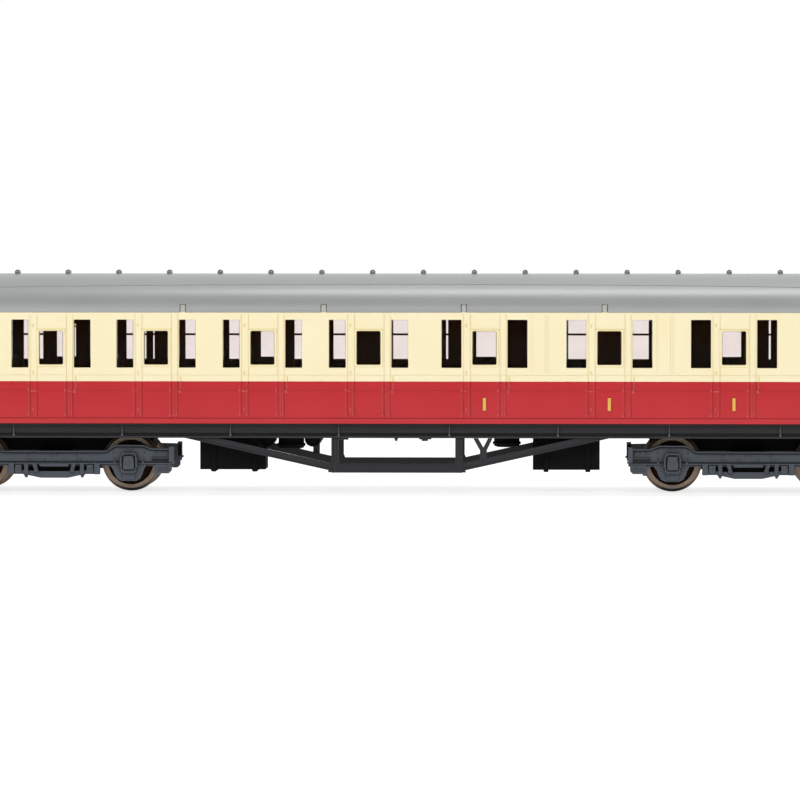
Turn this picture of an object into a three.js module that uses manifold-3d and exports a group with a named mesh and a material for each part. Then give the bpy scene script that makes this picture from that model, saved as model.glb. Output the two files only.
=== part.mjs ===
// Model passenger coach: a corridor composite coach at 4 mm to the foot.
// Units are millimetres. +X runs along the coach, the compartment side faces -Y, +Z is up,
// and z = 0 is the lowest point of the wheel flanges.
import * as THREE from 'three';
import { mergeVertices } from 'three/addons/utils/BufferGeometryUtils.js';
import Module from 'manifold-3d';

const wasm = await Module();
wasm.setup();

// Body
const HALF_LENGTH = 120;
const HALF_WIDTH = 18;
const SILL_Z = 16.6;
const CANTRAIL_Z = 43.2;
const CROWN_Z = 52.2;
const WALL = 1.2;
const END_WALL = 1.4;
const GAP = 0.1;

// Compartments: third class first, then first class, with the centre of each door
const THIRD_DOORS = [-83.3, -58.2, -32.8, -7.5];
const FIRST_DOORS = [20.1, 49.8, 79.4];
const BULKHEADS = [-95.95, -70.75, -45.5, -20.15, 5.2, 34.95, 64.6, 94.2];
const SIDE_LIGHT_Z = [29.9, 41.35];
const DROPLIGHT_Z = [30.5, 38.5];
const DROPLIGHT_WIDTH = 5.6;
const THIRD_LIGHT = { offset: 7.45, width: 3.92 };
const FIRST_LIGHT = { offset: 7.85, width: 4.64 };
const TOILET_LIGHT = { centres: [-105, 104.5], width: 5.4, z: [31.5, 40.2] };

// Corridor side: doors, and wide lights between them
const CORRIDOR_DOORS = [-83.2, -32.9, 20, 80];
const CORRIDOR_LIGHTS = [
  [-96, -88.9], [-77.5, -63.4], [-61.85, -54.3], [-52.75, -38.6],
  [-27.2, -12.9], [-11.35, -1.55], [0, 14.3],
  [25.7, 41.6], [43.15, 56.85], [58.4, 74.3], [85.7, 96],
];
const CORRIDOR_LIGHT_Z = [30.6, 40.6];

// Openings of the wall between the compartments and the corridor
const PARTITION_LIGHTS = [
  [-92.6, -87.8], [-84.5, -79.8], [-67.5, -62.6], [-61, -58], [-53.1, -48], [-42.4, -37.35],
  [-34.7, -30.05], [-26.5, -22.8], [-17, -11.5], [-2.45, 3], [10.4, 13.5], [17.75, 22.5],
  [28, 31.5], [40.1, 46.5], [53.5, 59.6], [70, 74], [77.3, 82], [88.7, 91.5],
];
const PARTITION_Z = [28.5, 41];
const PARTITION_Y = [7.5, 8.5];

// Roof: two tangent arcs from the crown to the cantrail
const CROWN_RADIUS = 27;
const CROWN_ANGLE = 30;
const SHOULDER_RADIUS = 11.05;
const SHOULDER_ANGLE = 67.7;
const ROOF_THICKNESS = 1;
const ROOF_HALF_LENGTH = 120.3;
const VENT_PITCH = 12.28;
const VENT_FIRST_X = -105.4;
const VENT_COUNT = 18;
const CLIP_X = [-51.8, -18.2, 15.2, 48.7];
const CLIP = { width: 2.4, height: 1.6 };

// Underframe
const FLOOR_Z = [15, 16.2];
const SOLEBAR_Z = [13.1, 16.5];
const SOLEBAR_Y = [14.6, 15.6];
const SOLEBAR_FLANGE_Y = 16.1;
const SOLEBAR_HALF_LENGTH = 119.5;
const RIB_X = [-92.5, -66.5, -40.6, -14.7, 11.7, 37.6, 64.1, 90.5];
const HEADSTOCK = { x: [119, 120.4], z: [12.4, 16.5], halfWidth: 15.6 };
const TRUSS_Y = [14.7, 15.7];
const TRUSS_TOP = SOLEBAR_Z[0] - GAP;
const TRUSS_CENTRE_X = -0.85;

// Running gear
const BOGIE_X = 83;
const AXLE_OFFSET = 18;
const AXLE_Z = 7.05;
const FLANGE_RADIUS = 7.05;
const TREAD_RADIUS = 6.4;
const WHEEL_INNER_Y = 7.25;
const WHEEL_OUTER_Y = 9.5;
const AXLE_RADIUS = 0.95;
const AXLE_TIP_Y = 13.5;
const FRAME_Y = [13, 14.6];
const PIN_RADIUS = 1.9;

// Coupling, measured from the middle of the coach
const COUPLING_PIN = { x: 119.6, z: 9.7, radius: 0.45, halfLength: 2.5 };
const BUMPER = { x: [127.6, 128.6], z: [5.6, 8.9], halfWidth: 6.75 };

const ROUND_SIDES = 20;

const finish = (color, roughness, metalness = 0) =>
  new THREE.MeshStandardMaterial({ color, roughness, metalness });
const cream = finish(0xf3e4bd, 0.4);
const roofGrey = finish(0xa9adb4, 0.6);
const clear = new THREE.MeshStandardMaterial({ color: 0xe6e2e4, roughness: 0.05, transparent: true, opacity: 0.35 });
const brown = finish(0x2c1a14, 0.7);
const black = finish(0x232126, 0.55);
const blueGrey = finish(0x3c404b, 0.5);
const steel = finish(0x9a9a98, 0.35, 0.9);
const wheelBrown = finish(0x5a5046, 0.45, 0.6);

// Solid modelling helpers

function toManifold(geometry) {
  const bare = geometry.clone();
  bare.deleteAttribute('normal');
  bare.deleteAttribute('uv');
  const welded = mergeVertices(bare, 1e-4);
  const vertProperties = new Float32Array(welded.attributes.position.array);
  const triVerts = new Uint32Array(welded.index.array);
  return new wasm.Manifold(new wasm.Mesh({ numProp: 3, vertProperties, triVerts }));
}

function toGeometry(manifold) {
  const mesh = manifold.getMesh();
  const geometry = new THREE.BufferGeometry();
  geometry.setAttribute('position', new THREE.BufferAttribute(new Float32Array(mesh.vertProperties), 3));
  geometry.setIndex(new THREE.BufferAttribute(new Uint32Array(mesh.triVerts), 1));
  geometry.computeVertexNormals();
  return geometry;
}

function box([x0, x1], [y0, y1], [z0, z1]) {
  const geometry = new THREE.BoxGeometry(x1 - x0, y1 - y0, z1 - z0);
  return toManifold(geometry.translate((x0 + x1) / 2, (y0 + y1) / 2, (z0 + z1) / 2));
}

function extrude(points, depth) {
  const shape = new THREE.Shape(points.map(([a, b]) => new THREE.Vector2(a, b)));
  return new THREE.ExtrudeGeometry(shape, { depth, bevelEnabled: false, curveSegments: 8 });
}

// A section drawn in Y and Z, carried along X
function alongX(points, [x0, x1]) {
  const turn = new THREE.Matrix4().makeBasis(
    new THREE.Vector3(0, 1, 0), new THREE.Vector3(0, 0, 1), new THREE.Vector3(1, 0, 0));
  return toManifold(extrude(points, x1 - x0).applyMatrix4(turn).translate(x0, 0, 0));
}

// An outline drawn in X and Z, carried along Y
function alongY(points, [y0, y1]) {
  return toManifold(extrude(points, y1 - y0).rotateX(Math.PI / 2).translate(0, y1, 0));
}

// A profile of [radius, height] pairs turned about an axis through the origin
function turned(profile, axis, sides = ROUND_SIDES) {
  const lathe = new THREE.LatheGeometry(profile.map(([r, h]) => new THREE.Vector2(r, h)), sides);
  if (axis === 'z') lathe.rotateX(Math.PI / 2);
  if (axis === 'x') lathe.rotateZ(-Math.PI / 2);
  return toManifold(lathe);
}

function rod(radius, [low, high], axis, sides) {
  return turned([[0, low], [radius, low], [radius, high], [0, high]], axis, sides);
}

const join = (solids) => solids.reduce((sum, solid) => sum.add(solid));
const cut = (solid, tools) => tools.reduce((rest, tool) => rest.subtract(tool), solid);

const coach = new THREE.Group();

function addPart(name, solid, material) {
  const mesh = new THREE.Mesh(toGeometry(solid), material);
  mesh.name = name;
  coach.add(mesh);
}

// Both ends of the coach: the second copy is the first turned half way round
const ENDS = [
  { tag: 'b', place: (solid) => solid },
  { tag: 'a', place: (solid) => solid.rotate([0, 0, 180]) },
];

// Body shell

const SIDE_PROFILE = [[17.2, SILL_Z], [17.85, 22], [HALF_WIDTH, 26.5], [HALF_WIDTH, CANTRAIL_Z - GAP / 2]];

function mirrored(rightHalf) {
  const leftHalf = rightHalf.map(([y, z]) => [-y, z]).reverse();
  return [...rightHalf, ...leftHalf.filter(([y, z]) => !rightHalf.some(([a, b]) => a === y && b === z))];
}

function roofHalf(inset) {
  const points = [];
  const bigCentreZ = CROWN_Z - CROWN_RADIUS;
  const crownAngle = THREE.MathUtils.degToRad(CROWN_ANGLE);
  const smallCentreY = (CROWN_RADIUS - SHOULDER_RADIUS) * Math.sin(crownAngle);
  const smallCentreZ = bigCentreZ + (CROWN_RADIUS - SHOULDER_RADIUS) * Math.cos(crownAngle);
  for (let step = 0; step <= 4; step += 1) {
    const angle = THREE.MathUtils.degToRad(SHOULDER_ANGLE + ((CROWN_ANGLE - SHOULDER_ANGLE) * step) / 4);
    const radius = SHOULDER_RADIUS - inset;
    points.push([smallCentreY + radius * Math.sin(angle), smallCentreZ + radius * Math.cos(angle)]);
  }
  for (let step = 1; step <= 4; step += 1) {
    const angle = crownAngle * (1 - step / 4);
    const radius = CROWN_RADIUS - inset;
    points.push([radius * Math.sin(angle), bigCentreZ + radius * Math.cos(angle)]);
  }
  return points;
}

function sideOpenings(sign, lights) {
  const depth = sign < 0 ? [-HALF_WIDTH - 1, -HALF_WIDTH + 2.5] : [HALF_WIDTH - 2.5, HALF_WIDTH + 1];
  return lights.map(({ x, z }) => box(x, depth, z));
}

function compartmentLights() {
  const lights = [];
  const span = (centre, width) => [centre - width / 2, centre + width / 2];
  const addBay = (doors, { offset, width }) => doors.forEach((door) => {
    lights.push({ x: span(door, DROPLIGHT_WIDTH), z: DROPLIGHT_Z });
    [-1, 1].forEach((side) => lights.push({ x: span(door + side * offset, width), z: SIDE_LIGHT_Z }));
  });
  addBay(THIRD_DOORS, THIRD_LIGHT);
  addBay(FIRST_DOORS, FIRST_LIGHT);
  TOILET_LIGHT.centres.forEach((x) => lights.push({ x: span(x, TOILET_LIGHT.width), z: TOILET_LIGHT.z }));
  return lights;
}

function corridorLights() {
  const half = DROPLIGHT_WIDTH / 2;
  return [
    ...CORRIDOR_LIGHTS.map((x) => ({ x, z: CORRIDOR_LIGHT_Z })),
    ...CORRIDOR_DOORS.map((x) => ({ x: [x - half, x + half], z: DROPLIGHT_Z })),
  ];
}

function bodyShell() {
  const outer = alongX(mirrored(SIDE_PROFILE), [-HALF_LENGTH, HALF_LENGTH]);
  const innerHalf = SIDE_PROFILE.map(([y, z]) => [y - WALL, z]);
  innerHalf[0][1] -= 1;
  innerHalf[innerHalf.length - 1][1] += 1;
  const inner = alongX(mirrored(innerHalf), [-HALF_LENGTH + END_WALL, HALF_LENGTH - END_WALL]);
  const domeHalf = roofHalf(ROOF_THICKNESS + GAP);
  const dome = mirrored([[domeHalf[0][0], CANTRAIL_Z - 0.5], ...domeHalf]);
  const domes = [
    alongX(dome, [HALF_LENGTH - END_WALL, HALF_LENGTH]),
    alongX(dome, [-HALF_LENGTH, -HALF_LENGTH + END_WALL]),
  ];
  const clips = [-1, 1].flatMap((side) => CLIP_X.map((x) => {
    const y = side * (HALF_WIDTH - 0.6);
    return box([x - CLIP.width / 2, x + CLIP.width / 2], [y - 0.5, y + 0.5], [CANTRAIL_Z - 0.6, CANTRAIL_Z + CLIP.height]);
  }));
  const holes = [...sideOpenings(-1, compartmentLights()), ...sideOpenings(1, corridorLights())];
  return join([cut(cut(outer, [inner]), holes), ...domes, ...clips]);
}

function roof() {
  const outer = alongX(mirrored(roofHalf(0)), [-ROOF_HALF_LENGTH, ROOF_HALF_LENGTH]);
  const hollowHalf = roofHalf(ROOF_THICKNESS);
  hollowHalf.unshift([hollowHalf[0][0], CANTRAIL_Z - 1]);
  const hollow = alongX(mirrored(hollowHalf), [-ROOF_HALF_LENGTH - 1, ROOF_HALF_LENGTH + 1]);
  const vents = Array.from({ length: VENT_COUNT }, (_, index) => {
    const profile = [[0, -0.6], [0.65, -0.6], [0.65, 0.55], [0.4, 0.85], [0, 0.95]];
    return turned(profile, 'z', 8).translate([VENT_FIRST_X + index * VENT_PITCH, 0, CROWN_Z]);
  });
  const notches = [-1, 1].flatMap((side) => CLIP_X.map((x) => {
    const half = CLIP.width / 2 + GAP;
    const y = side * HALF_WIDTH;
    return box([x - half, x + half], [y - 1.8, y + 1.8], [CANTRAIL_Z - 1, CANTRAIL_Z + CLIP.height + GAP]);
  }));
  return cut(join([cut(outer, [hollow]), ...vents]), notches);
}

function glazing(side) {
  const y = side < 0 ? [-16.7, -16] : [16, 16.7];
  return box([-110, 110], y, [29, 42.2]);
}

// Interior: floor tray, bulkheads, corridor wall and seats in one moulding

function seat(x, direction) {
  const outline = [[0.4, 18], [6.6, 18], [6.6, 22.4], [2.6, 22.8], [1.7, 32], [0.4, 32]];
  const placed = outline.map(([dx, z]) => [x + direction * dx, z]);
  return alongY(direction > 0 ? placed : placed.reverse(), [-15.4, PARTITION_Y[0] + 0.5]);
}

function interior() {
  const tray = box([-118, 118], [-15.7, 15.7], [17.4, 18.2]);
  const walls = BULKHEADS.map((x) => box([x - 0.5, x + 0.5], [-15.8, PARTITION_Y[1]], [18, 42.4]));
  const span = [BULKHEADS[0], BULKHEADS[BULKHEADS.length - 1]];
  const corridor = cut(box(span, PARTITION_Y, [18, 42.4]), PARTITION_LIGHTS.map((x) => box(x, [6, 10], PARTITION_Z)));
  const seats = BULKHEADS.slice(0, -1).flatMap((x, index) => [seat(x, 1), seat(BULKHEADS[index + 1], -1)]);
  return join([tray, corridor, ...walls, ...seats]);
}

// Underframe

function chassis() {
  const floor = box([-SOLEBAR_HALF_LENGTH, SOLEBAR_HALF_LENGTH], [-SOLEBAR_Y[1], SOLEBAR_Y[1]], FLOOR_Z);
  const solids = [floor];
  [-1, 1].forEach((side) => {
    const along = [-SOLEBAR_HALF_LENGTH, SOLEBAR_HALF_LENGTH];
    const across = (a, b) => (side < 0 ? [-b, -a] : [a, b]);
    solids.push(box(along, across(...SOLEBAR_Y), SOLEBAR_Z));
    solids.push(box(along, across(SOLEBAR_Y[0], SOLEBAR_FLANGE_Y), [SOLEBAR_Z[0], SOLEBAR_Z[0] + 0.4]));
    solids.push(box(along, across(SOLEBAR_Y[0], SOLEBAR_FLANGE_Y), [SOLEBAR_Z[1] - 0.4, SOLEBAR_Z[1]]));
    const ribY = across(SOLEBAR_Y[1] - 0.2, SOLEBAR_FLANGE_Y);
    RIB_X.forEach((x) => solids.push(box([x - 0.3, x + 0.3], ribY, SOLEBAR_Z)));
    solids.push(box([side * BOGIE_X - 5, side * BOGIE_X + 5], [-SOLEBAR_Y[1], SOLEBAR_Y[1]], [FLOOR_Z[0] - 0.1, FLOOR_Z[1]]));
    solids.push(rod(4, [14.2, 15.5], 'z').translate([side * BOGIE_X, 0, 0]));
    const [low, high] = HEADSTOCK.x;
    solids.push(box(side < 0 ? [-high, -low] : [low, high], [-HEADSTOCK.halfWidth, HEADSTOCK.halfWidth], HEADSTOCK.z));
  });
  const pinHoles = [-1, 1].map((side) => rod(PIN_RADIUS + 0.1, [10, 20], 'z', 24).translate([side * BOGIE_X, 0, 0]));
  return cut(join(solids), pinHoles);
}

function truss() {
  const frame = [
    [-51.5, TRUSS_TOP], [-16.5, 5.25], [-16.5, 4.8], [14.85, 4.8], [14.85, 5.25], [49.7, TRUSS_TOP],
    [41.7, TRUSS_TOP], [14.85, 7.05], [14.85, TRUSS_TOP], [13.1, TRUSS_TOP], [13.1, 7], [-14.75, 7],
    [-14.75, TRUSS_TOP], [-16.5, TRUSS_TOP], [-16.5, 7.05], [-43.5, TRUSS_TOP],
  ];
  const hanger = [
    [17.4, TRUSS_TOP], [19, 9.9], [19, 7.6], [20.65, 7.9], [20.65, 9.9], [22, TRUSS_TOP],
    [20.9, TRUSS_TOP], [19.8, 10.6], [18.6, TRUSS_TOP],
  ];
  const y = [-TRUSS_Y[1], -TRUSS_Y[0]];
  return alongY(frame, y).add(alongY(hanger, y));
}

const turnedAboutTruss = (solid) => solid.translate([-TRUSS_CENTRE_X, 0, 0]).rotate([0, 0, 180])
  .translate([TRUSS_CENTRE_X, 0, 0]);

function batteryBox([x0, x1], feet) {
  const halfWidth = 12.4;
  const top = FLOOR_Z[0] - GAP;
  const solids = [box([x0, x1], [-halfWidth, halfWidth], [5.4, top])];
  feet.forEach((x) => solids.push(box([x - 0.6, x + 0.6], [-halfWidth - 0.3, halfWidth + 0.3], [4.8, top])));
  return join(solids);
}

function vacuumCylinder(x, y) {
  const profile = [[0, 10.1], [3.1, 10.1], [3.4, 10.5], [3.4, 14.9], [0, 14.9]];
  return turned(profile, 'z').translate([x, y, 0]);
}

function crossCylinder(x, z, radius, y) {
  return rod(radius, y, 'y', 16).translate([x, 0, z]);
}

// Ends of the coach

function gangway() {
  const ring = box([HALF_LENGTH + GAP, HALF_LENGTH + 5.4], [-6.6, 6.6], [17.2, 44.6]);
  return cut(ring, [box([HALF_LENGTH - 1, HALF_LENGTH + 7], [-3.9, 3.9], [19, 41.5])]);
}

function gangwayDoor() {
  const panel = box([HALF_LENGTH + GAP, HALF_LENGTH + 0.7], [-3.8, 3.8], [19.1, 41.4]);
  return cut(panel, [box([HALF_LENGTH + 0.4, HALF_LENGTH + 1], [-2.2, 2.2], [31, 38.5])]);
}

function buffer(y) {
  const profile = [[0, 0], [2.3, 0], [2.3, 0.8], [1.5, 1.3], [1.5, 3.2], [1.1, 3.4], [1.1, 5.6], [2.9, 5.8], [2.9, 6.2], [0, 6.6]];
  return turned(profile, 'x', 16).translate([HEADSTOCK.x[1] + GAP, y, 14.4]);
}

// Bogies

function bogieSide() {
  const top = [[28.7, 10.5], [23.8, 10.5], [20.6, 11.3], [15.4, 11.3], [12.2, 9.95]];
  const bottom = [
    [6.5, 6.9], [6.5, 3.5], [3.1, 3.35], [-3.1, 3.35], [-6.5, 3.5], [-6.5, 6.9],
  ];
  const hornAndStep = [[12.6, 6.9], [14.5, 3.4], [21.5, 3.4], [23, 6.9], [24.3, 6.9], [24.3, 4.4], [28.2, 4.4], [28.2, 6.9], [28.7, 6.9]];
  const leftTop = top.map(([x, z]) => [-x, z]).reverse();
  const leftBottom = hornAndStep.map(([x, z]) => [-x, z]).reverse();
  return [...leftBottom, ...bottom.reverse(), ...hornAndStep, ...top, ...leftTop];
}

function bogieFrame() {
  const solids = [];
  [-1, 1].forEach((side) => {
    const across = (a, b) => (side < 0 ? [-b, -a] : [a, b]);
    solids.push(alongY(bogieSide(), across(...FRAME_Y)));
    [-AXLE_OFFSET, AXLE_OFFSET].forEach((x) => {
      solids.push(box([x - 2, x + 2], across(FRAME_Y[1] - 0.3, 16), [4.5, 9.55]));
    });
    solids.push(box([-6.3, 6.3], across(FRAME_Y[1] - 0.3, 15.4), [3.6, 5.2]));
    solids.push(box([side * 28.7 - 0.7, side * 28.7 + 0.7], [-13.2, 13.2], [7.2, 9.6]));
  });
  solids.push(box([-4, 4], [-13.2, 13.2], [7.2, 9.9]));
  solids.push(box([-23.3, 23.3], [-6.5, 6.5], [9.6, 14]));
  solids.push(box([-28.7, 28.7], [-2.6, 2.6], [9.3, 10.6]));
  const cups = [-1, 1].flatMap((side) => [-AXLE_OFFSET, AXLE_OFFSET].map((x) => {
    const reach = side < 0 ? [-AXLE_TIP_Y - 0.3, -12] : [12, AXLE_TIP_Y + 0.3];
    return rod(1.05, reach, 'y', 12).translate([x, 0, AXLE_Z]);
  }));
  const pinHole = rod(PIN_RADIUS + 0.1, [5, 20], 'z', 24);
  return cut(join(solids), [...cups, pinHole]);
}

function bogiePin() {
  const profile = [[0, 6.2], [3.2, 6.2], [3.2, 7], [PIN_RADIUS, 7], [PIN_RADIUS, 16.1], [0, 16.1]];
  return turned(profile, 'z', 24);
}

function axle() {
  const cone = 1.4;
  const profile = [
    [0, -AXLE_TIP_Y], [0.2, -AXLE_TIP_Y], [AXLE_RADIUS, cone - AXLE_TIP_Y],
    [AXLE_RADIUS, AXLE_TIP_Y - cone], [0.2, AXLE_TIP_Y], [0, AXLE_TIP_Y],
  ];
  return turned(profile, 'y', 12);
}

function wheel(side) {
  const bore = AXLE_RADIUS + 0.1;
  const profile = [
    [bore, WHEEL_INNER_Y], [FLANGE_RADIUS - 0.3, WHEEL_INNER_Y], [FLANGE_RADIUS, 7.6], [TREAD_RADIUS, 8.1],
    [TREAD_RADIUS - 0.1, WHEEL_OUTER_Y], [5.35, WHEEL_OUTER_Y], [5.1, 9], [2.1, 9], [2, 9.7], [bore, 9.7],
    [bore, WHEEL_INNER_Y],
  ];
  const solid = turned(profile, 'y', 24);
  return side > 0 ? solid : solid.rotate([0, 0, 180]);
}

// Coupling: a plastic arm with a bumper bar, and a steel hook that lifts on a pin

function couplingArm() {
  const { x: pinX, z: pinZ, radius } = COUPLING_PIN;
  const shank = box([BOGIE_X + 29.5, 119], [-2.3, 2.3], [7.4, 8.6]);
  const solids = [shank, box(BUMPER.x, [-BUMPER.halfWidth, BUMPER.halfWidth], BUMPER.z)];
  [[-2.3, -1.1], [1.1, 2.3]].forEach((y) => {
    solids.push(box([118.5, BUMPER.x[0] + 0.2], y, [7.4, 8.6]));
    solids.push(box([pinX - 1.1, pinX + 1.1], y, [8.4, pinZ + 1.1]));
  });
  return cut(join(solids), [rod(radius + 0.08, [-4, 4], 'y', 12).translate([pinX, 0, pinZ])]);
}

function couplingHook() {
  const { x: pinX, z: pinZ, radius } = COUPLING_PIN;
  const outline = [
    [pinX - 1.1, pinZ - 0.6], [pinX, pinZ - 1.1], [122, 9.1], [122, 4.4], [123.4, 4], [123.4, 9.1],
    [129.6, 9.1], [131, 9.1], [130.4, 11.6], [129.2, 11.2], [129.2, 10.2], [121, 10.3], [pinX + 0.5, pinZ + 1.1], [pinX - 0.6, pinZ + 1],
  ];
  const plate = alongY(outline, [-0.5, 0.5]);
  return cut(plate, [rod(radius + 0.08, [-4, 4], 'y', 12).translate([pinX, 0, pinZ])]);
}

function couplingPin() {
  const { x, z, radius, halfLength } = COUPLING_PIN;
  return rod(radius, [-halfLength, halfLength], 'y', 12).translate([x, 0, z]);
}

// Assembly

addPart('body_shell', bodyShell(), cream);
addPart('roof', roof(), roofGrey);
addPart('glazing_compartment_side', glazing(-1), clear);
addPart('glazing_corridor_side', glazing(1), clear);
addPart('interior_unit', interior(), brown);
addPart('chassis', chassis(), black);
addPart('ballast_weight', box([-60, 60], [-11, 11], [16.3, 17.3]), steel);
addPart('truss_compartment_side', truss(), black);
addPart('truss_corridor_side', turnedAboutTruss(truss()), black);
addPart('battery_box_a', cut(batteryBox([-48.5, -31.9], [-44.9, -35.05]), [box([-34.3, -30], [-14, 14], [10.4, 16])]), black);
addPart('battery_box_b', batteryBox([31.4, 47.9], [34.75, 44.75]), black);
addPart('vacuum_cylinder_a', vacuumCylinder(-26.6, -5), black);
addPart('vacuum_cylinder_b', vacuumCylinder(25.2, 5), black);
addPart('dynamo', crossCylinder(-32.1, 12.7, 1.9, [-11, -1]), black);
addPart('vacuum_reservoir', crossCylinder(-21.2, 12.7, 1.9, [-11, 7]), black);

ENDS.forEach(({ tag, place }) => {
  addPart(`gangway_${tag}`, place(gangway()), black);
  addPart(`gangway_door_${tag}`, place(gangwayDoor()), black);
  addPart(`buffer_${tag}1`, place(buffer(-11.4)), black);
  addPart(`buffer_${tag}2`, place(buffer(11.4)), black);
  addPart(`bogie_pin_${tag}`, place(bogiePin().translate([BOGIE_X, 0, 0])), steel);
  addPart(`bogie_frame_${tag}`, place(bogieFrame().translate([BOGIE_X, 0, 0])), blueGrey);
  [-1, 1].forEach((direction, index) => {
    const x = BOGIE_X + direction * AXLE_OFFSET;
    const atAxle = (solid) => place(solid.translate([x, 0, AXLE_Z]));
    addPart(`axle_${tag}${index + 1}`, atAxle(axle()), steel);
    addPart(`wheel_${tag}${index + 1}_left`, atAxle(wheel(-1)), wheelBrown);
    addPart(`wheel_${tag}${index + 1}_right`, atAxle(wheel(1)), wheelBrown);
  });
  addPart(`coupling_arm_${tag}`, place(couplingArm()), black);
  addPart(`coupling_hook_${tag}`, place(couplingHook()), steel);
  addPart(`coupling_pin_${tag}`, place(couplingPin()), steel);
});

export default coach;
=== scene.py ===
# %% [markdown]
# # A model passenger coach
# This lesson builds the looks of a 4 mm scale corridor coach around a CAD frame that already fixes every size
# and every joint. The CAD nodes are plain and faceted. Each visible one is replaced here by a piece with soft
# edges, beading, rivets and a finish of its own, made where the frame says it belongs.

# %% Load the frame
import math

import bpy
from mathutils import Matrix, Vector


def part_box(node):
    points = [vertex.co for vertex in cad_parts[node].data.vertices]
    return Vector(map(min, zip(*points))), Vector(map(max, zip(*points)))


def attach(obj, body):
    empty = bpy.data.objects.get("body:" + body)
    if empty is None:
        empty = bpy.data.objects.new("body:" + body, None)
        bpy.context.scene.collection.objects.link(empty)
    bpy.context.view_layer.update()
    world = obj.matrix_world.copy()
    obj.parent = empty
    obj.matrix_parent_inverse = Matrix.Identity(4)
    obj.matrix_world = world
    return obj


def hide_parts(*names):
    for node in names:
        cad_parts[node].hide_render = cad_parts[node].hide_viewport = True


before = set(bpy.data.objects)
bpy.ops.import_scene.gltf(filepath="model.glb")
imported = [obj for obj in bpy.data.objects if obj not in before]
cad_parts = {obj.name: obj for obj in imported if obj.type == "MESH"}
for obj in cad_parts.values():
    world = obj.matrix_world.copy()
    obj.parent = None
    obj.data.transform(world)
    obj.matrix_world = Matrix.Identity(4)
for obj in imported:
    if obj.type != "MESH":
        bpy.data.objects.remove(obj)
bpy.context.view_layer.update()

# %% [markdown]
# ## Small tools
# The model is measured in millimetres and Blender works in metres, so one helper turns one into the other.
# The rest are the few hand moves that every piece needs: a block or an outline at its place, a turned
# shape, a cut, and softened edges. Moulded plastic never has a knife edge, so nearly every piece ends with
# a small bevel.

# %% Selection, blocks and plates
MM = 0.001


def mm(*values):
    return tuple(value * MM for value in values)


def only(piece):
    bpy.ops.object.select_all(action="DESELECT")
    piece.select_set(True)
    bpy.context.view_layer.objects.active = piece
    return piece


def edit(piece, *moves):
    """Runs the moves in edit mode with everything selected first."""
    only(piece)
    bpy.ops.object.mode_set(mode="EDIT")
    bpy.ops.mesh.select_all(action="SELECT")
    for move in moves:
        move()
    bpy.ops.object.mode_set(mode="OBJECT")
    return piece


def block(x, y, z, round_by=0.0, steps=2):
    """A block between two places on each axis, its edges rounded when round_by is given."""
    bpy.ops.object.select_all(action="DESELECT")
    centre = mm(sum(x) / 2, sum(y) / 2, sum(z) / 2)
    size = mm(x[1] - x[0], y[1] - y[0], z[1] - z[0])
    bpy.ops.mesh.primitive_cube_add(size=1, location=centre, scale=size)
    bpy.ops.object.transform_apply(location=True, rotation=True, scale=True)
    piece = bpy.context.object
    if round_by:
        edit(piece, lambda: bpy.ops.mesh.bevel(offset=round_by * MM, segments=steps, affect="EDGES"))
    return piece


def plate(outline, depth, along="y"):
    """An outline drawn across one axis, then extruded along that axis from depth[0] to depth[1]."""
    bpy.ops.object.select_all(action="DESELECT")
    bpy.ops.mesh.primitive_circle_add(vertices=len(outline), fill_type="NGON")
    piece = bpy.context.object
    spread = {"x": lambda a, b: (depth[0], a, b), "y": lambda a, b: (a, depth[0], b), "z": lambda a,
              b: (a, b, depth[0])}
    for vertex, (a, b) in zip(piece.data.vertices, outline):
        vertex.co = mm(*spread[along](a, b))
    travel = mm(*[(depth[1] - depth[0]) * (axis == along) for axis in "xyz"])
    return edit(
        piece,
        lambda: bpy.ops.mesh.extrude_region_move(TRANSFORM_OT_translate={"value": travel}),
        lambda: bpy.ops.mesh.select_all(action="SELECT"),
        lambda: bpy.ops.mesh.normals_make_consistent(inside=False),
    )


def turned(profile, axis, centre, steps=48):
    """A closed profile of (radius, place along the axis) pairs, spun once round the axis through centre."""
    bpy.ops.object.select_all(action="DESELECT")
    bpy.ops.mesh.primitive_circle_add(vertices=len(profile), fill_type="NOTHING")
    piece = bpy.context.object
    spread = {"x": lambda r, h: (h, r, 0), "y": lambda r, h: (r, h, 0), "z": lambda r, h: (r, 0, h)}
    for vertex, (radius, height) in zip(piece.data.vertices, profile):
        vertex.co = Vector(mm(*spread[axis](radius, height))) + Vector(mm(*centre))
    line = tuple(float(name == axis) for name in "xyz")
    return edit(
        piece,
        lambda: bpy.ops.mesh.spin(steps=steps, angle=math.tau, center=mm(*centre), axis=line),
        lambda: bpy.ops.mesh.select_all(action="SELECT"),
        lambda: bpy.ops.mesh.remove_doubles(threshold=0.002 * MM),
        lambda: bpy.ops.mesh.delete_loose(),
        lambda: bpy.ops.mesh.select_all(action="SELECT"),
        lambda: bpy.ops.mesh.normals_make_consistent(inside=False),
    )


def rod(radius, start, end, axis, centre, steps=24, soft=0.0):
    """A round bar with its two end edges chamfered by soft."""
    profile = [(0, start), (radius - soft, start), (radius, start + soft), (radius, end - soft),
               (radius - soft, end), (0, end)]
    if not soft:
        profile = [(0, start), (radius, start), (radius, end), (0, end)]
    return turned(profile, axis, centre, steps)


# %% Joining, cutting and softening
def join(*pieces):
    bpy.ops.object.select_all(action="DESELECT")
    for piece in pieces:
        piece.select_set(True)
    bpy.context.view_layer.objects.active = pieces[0]
    bpy.ops.object.join()
    return bpy.context.object


def boolean(piece, tool, operation):
    modifier = piece.modifiers.new(operation.lower(), "BOOLEAN")
    modifier.object, modifier.operation, modifier.solver = tool, operation, "EXACT"
    only(piece)
    bpy.ops.object.modifier_apply(modifier=modifier.name)
    bpy.data.objects.remove(tool, do_unlink=True)
    return piece


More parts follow.
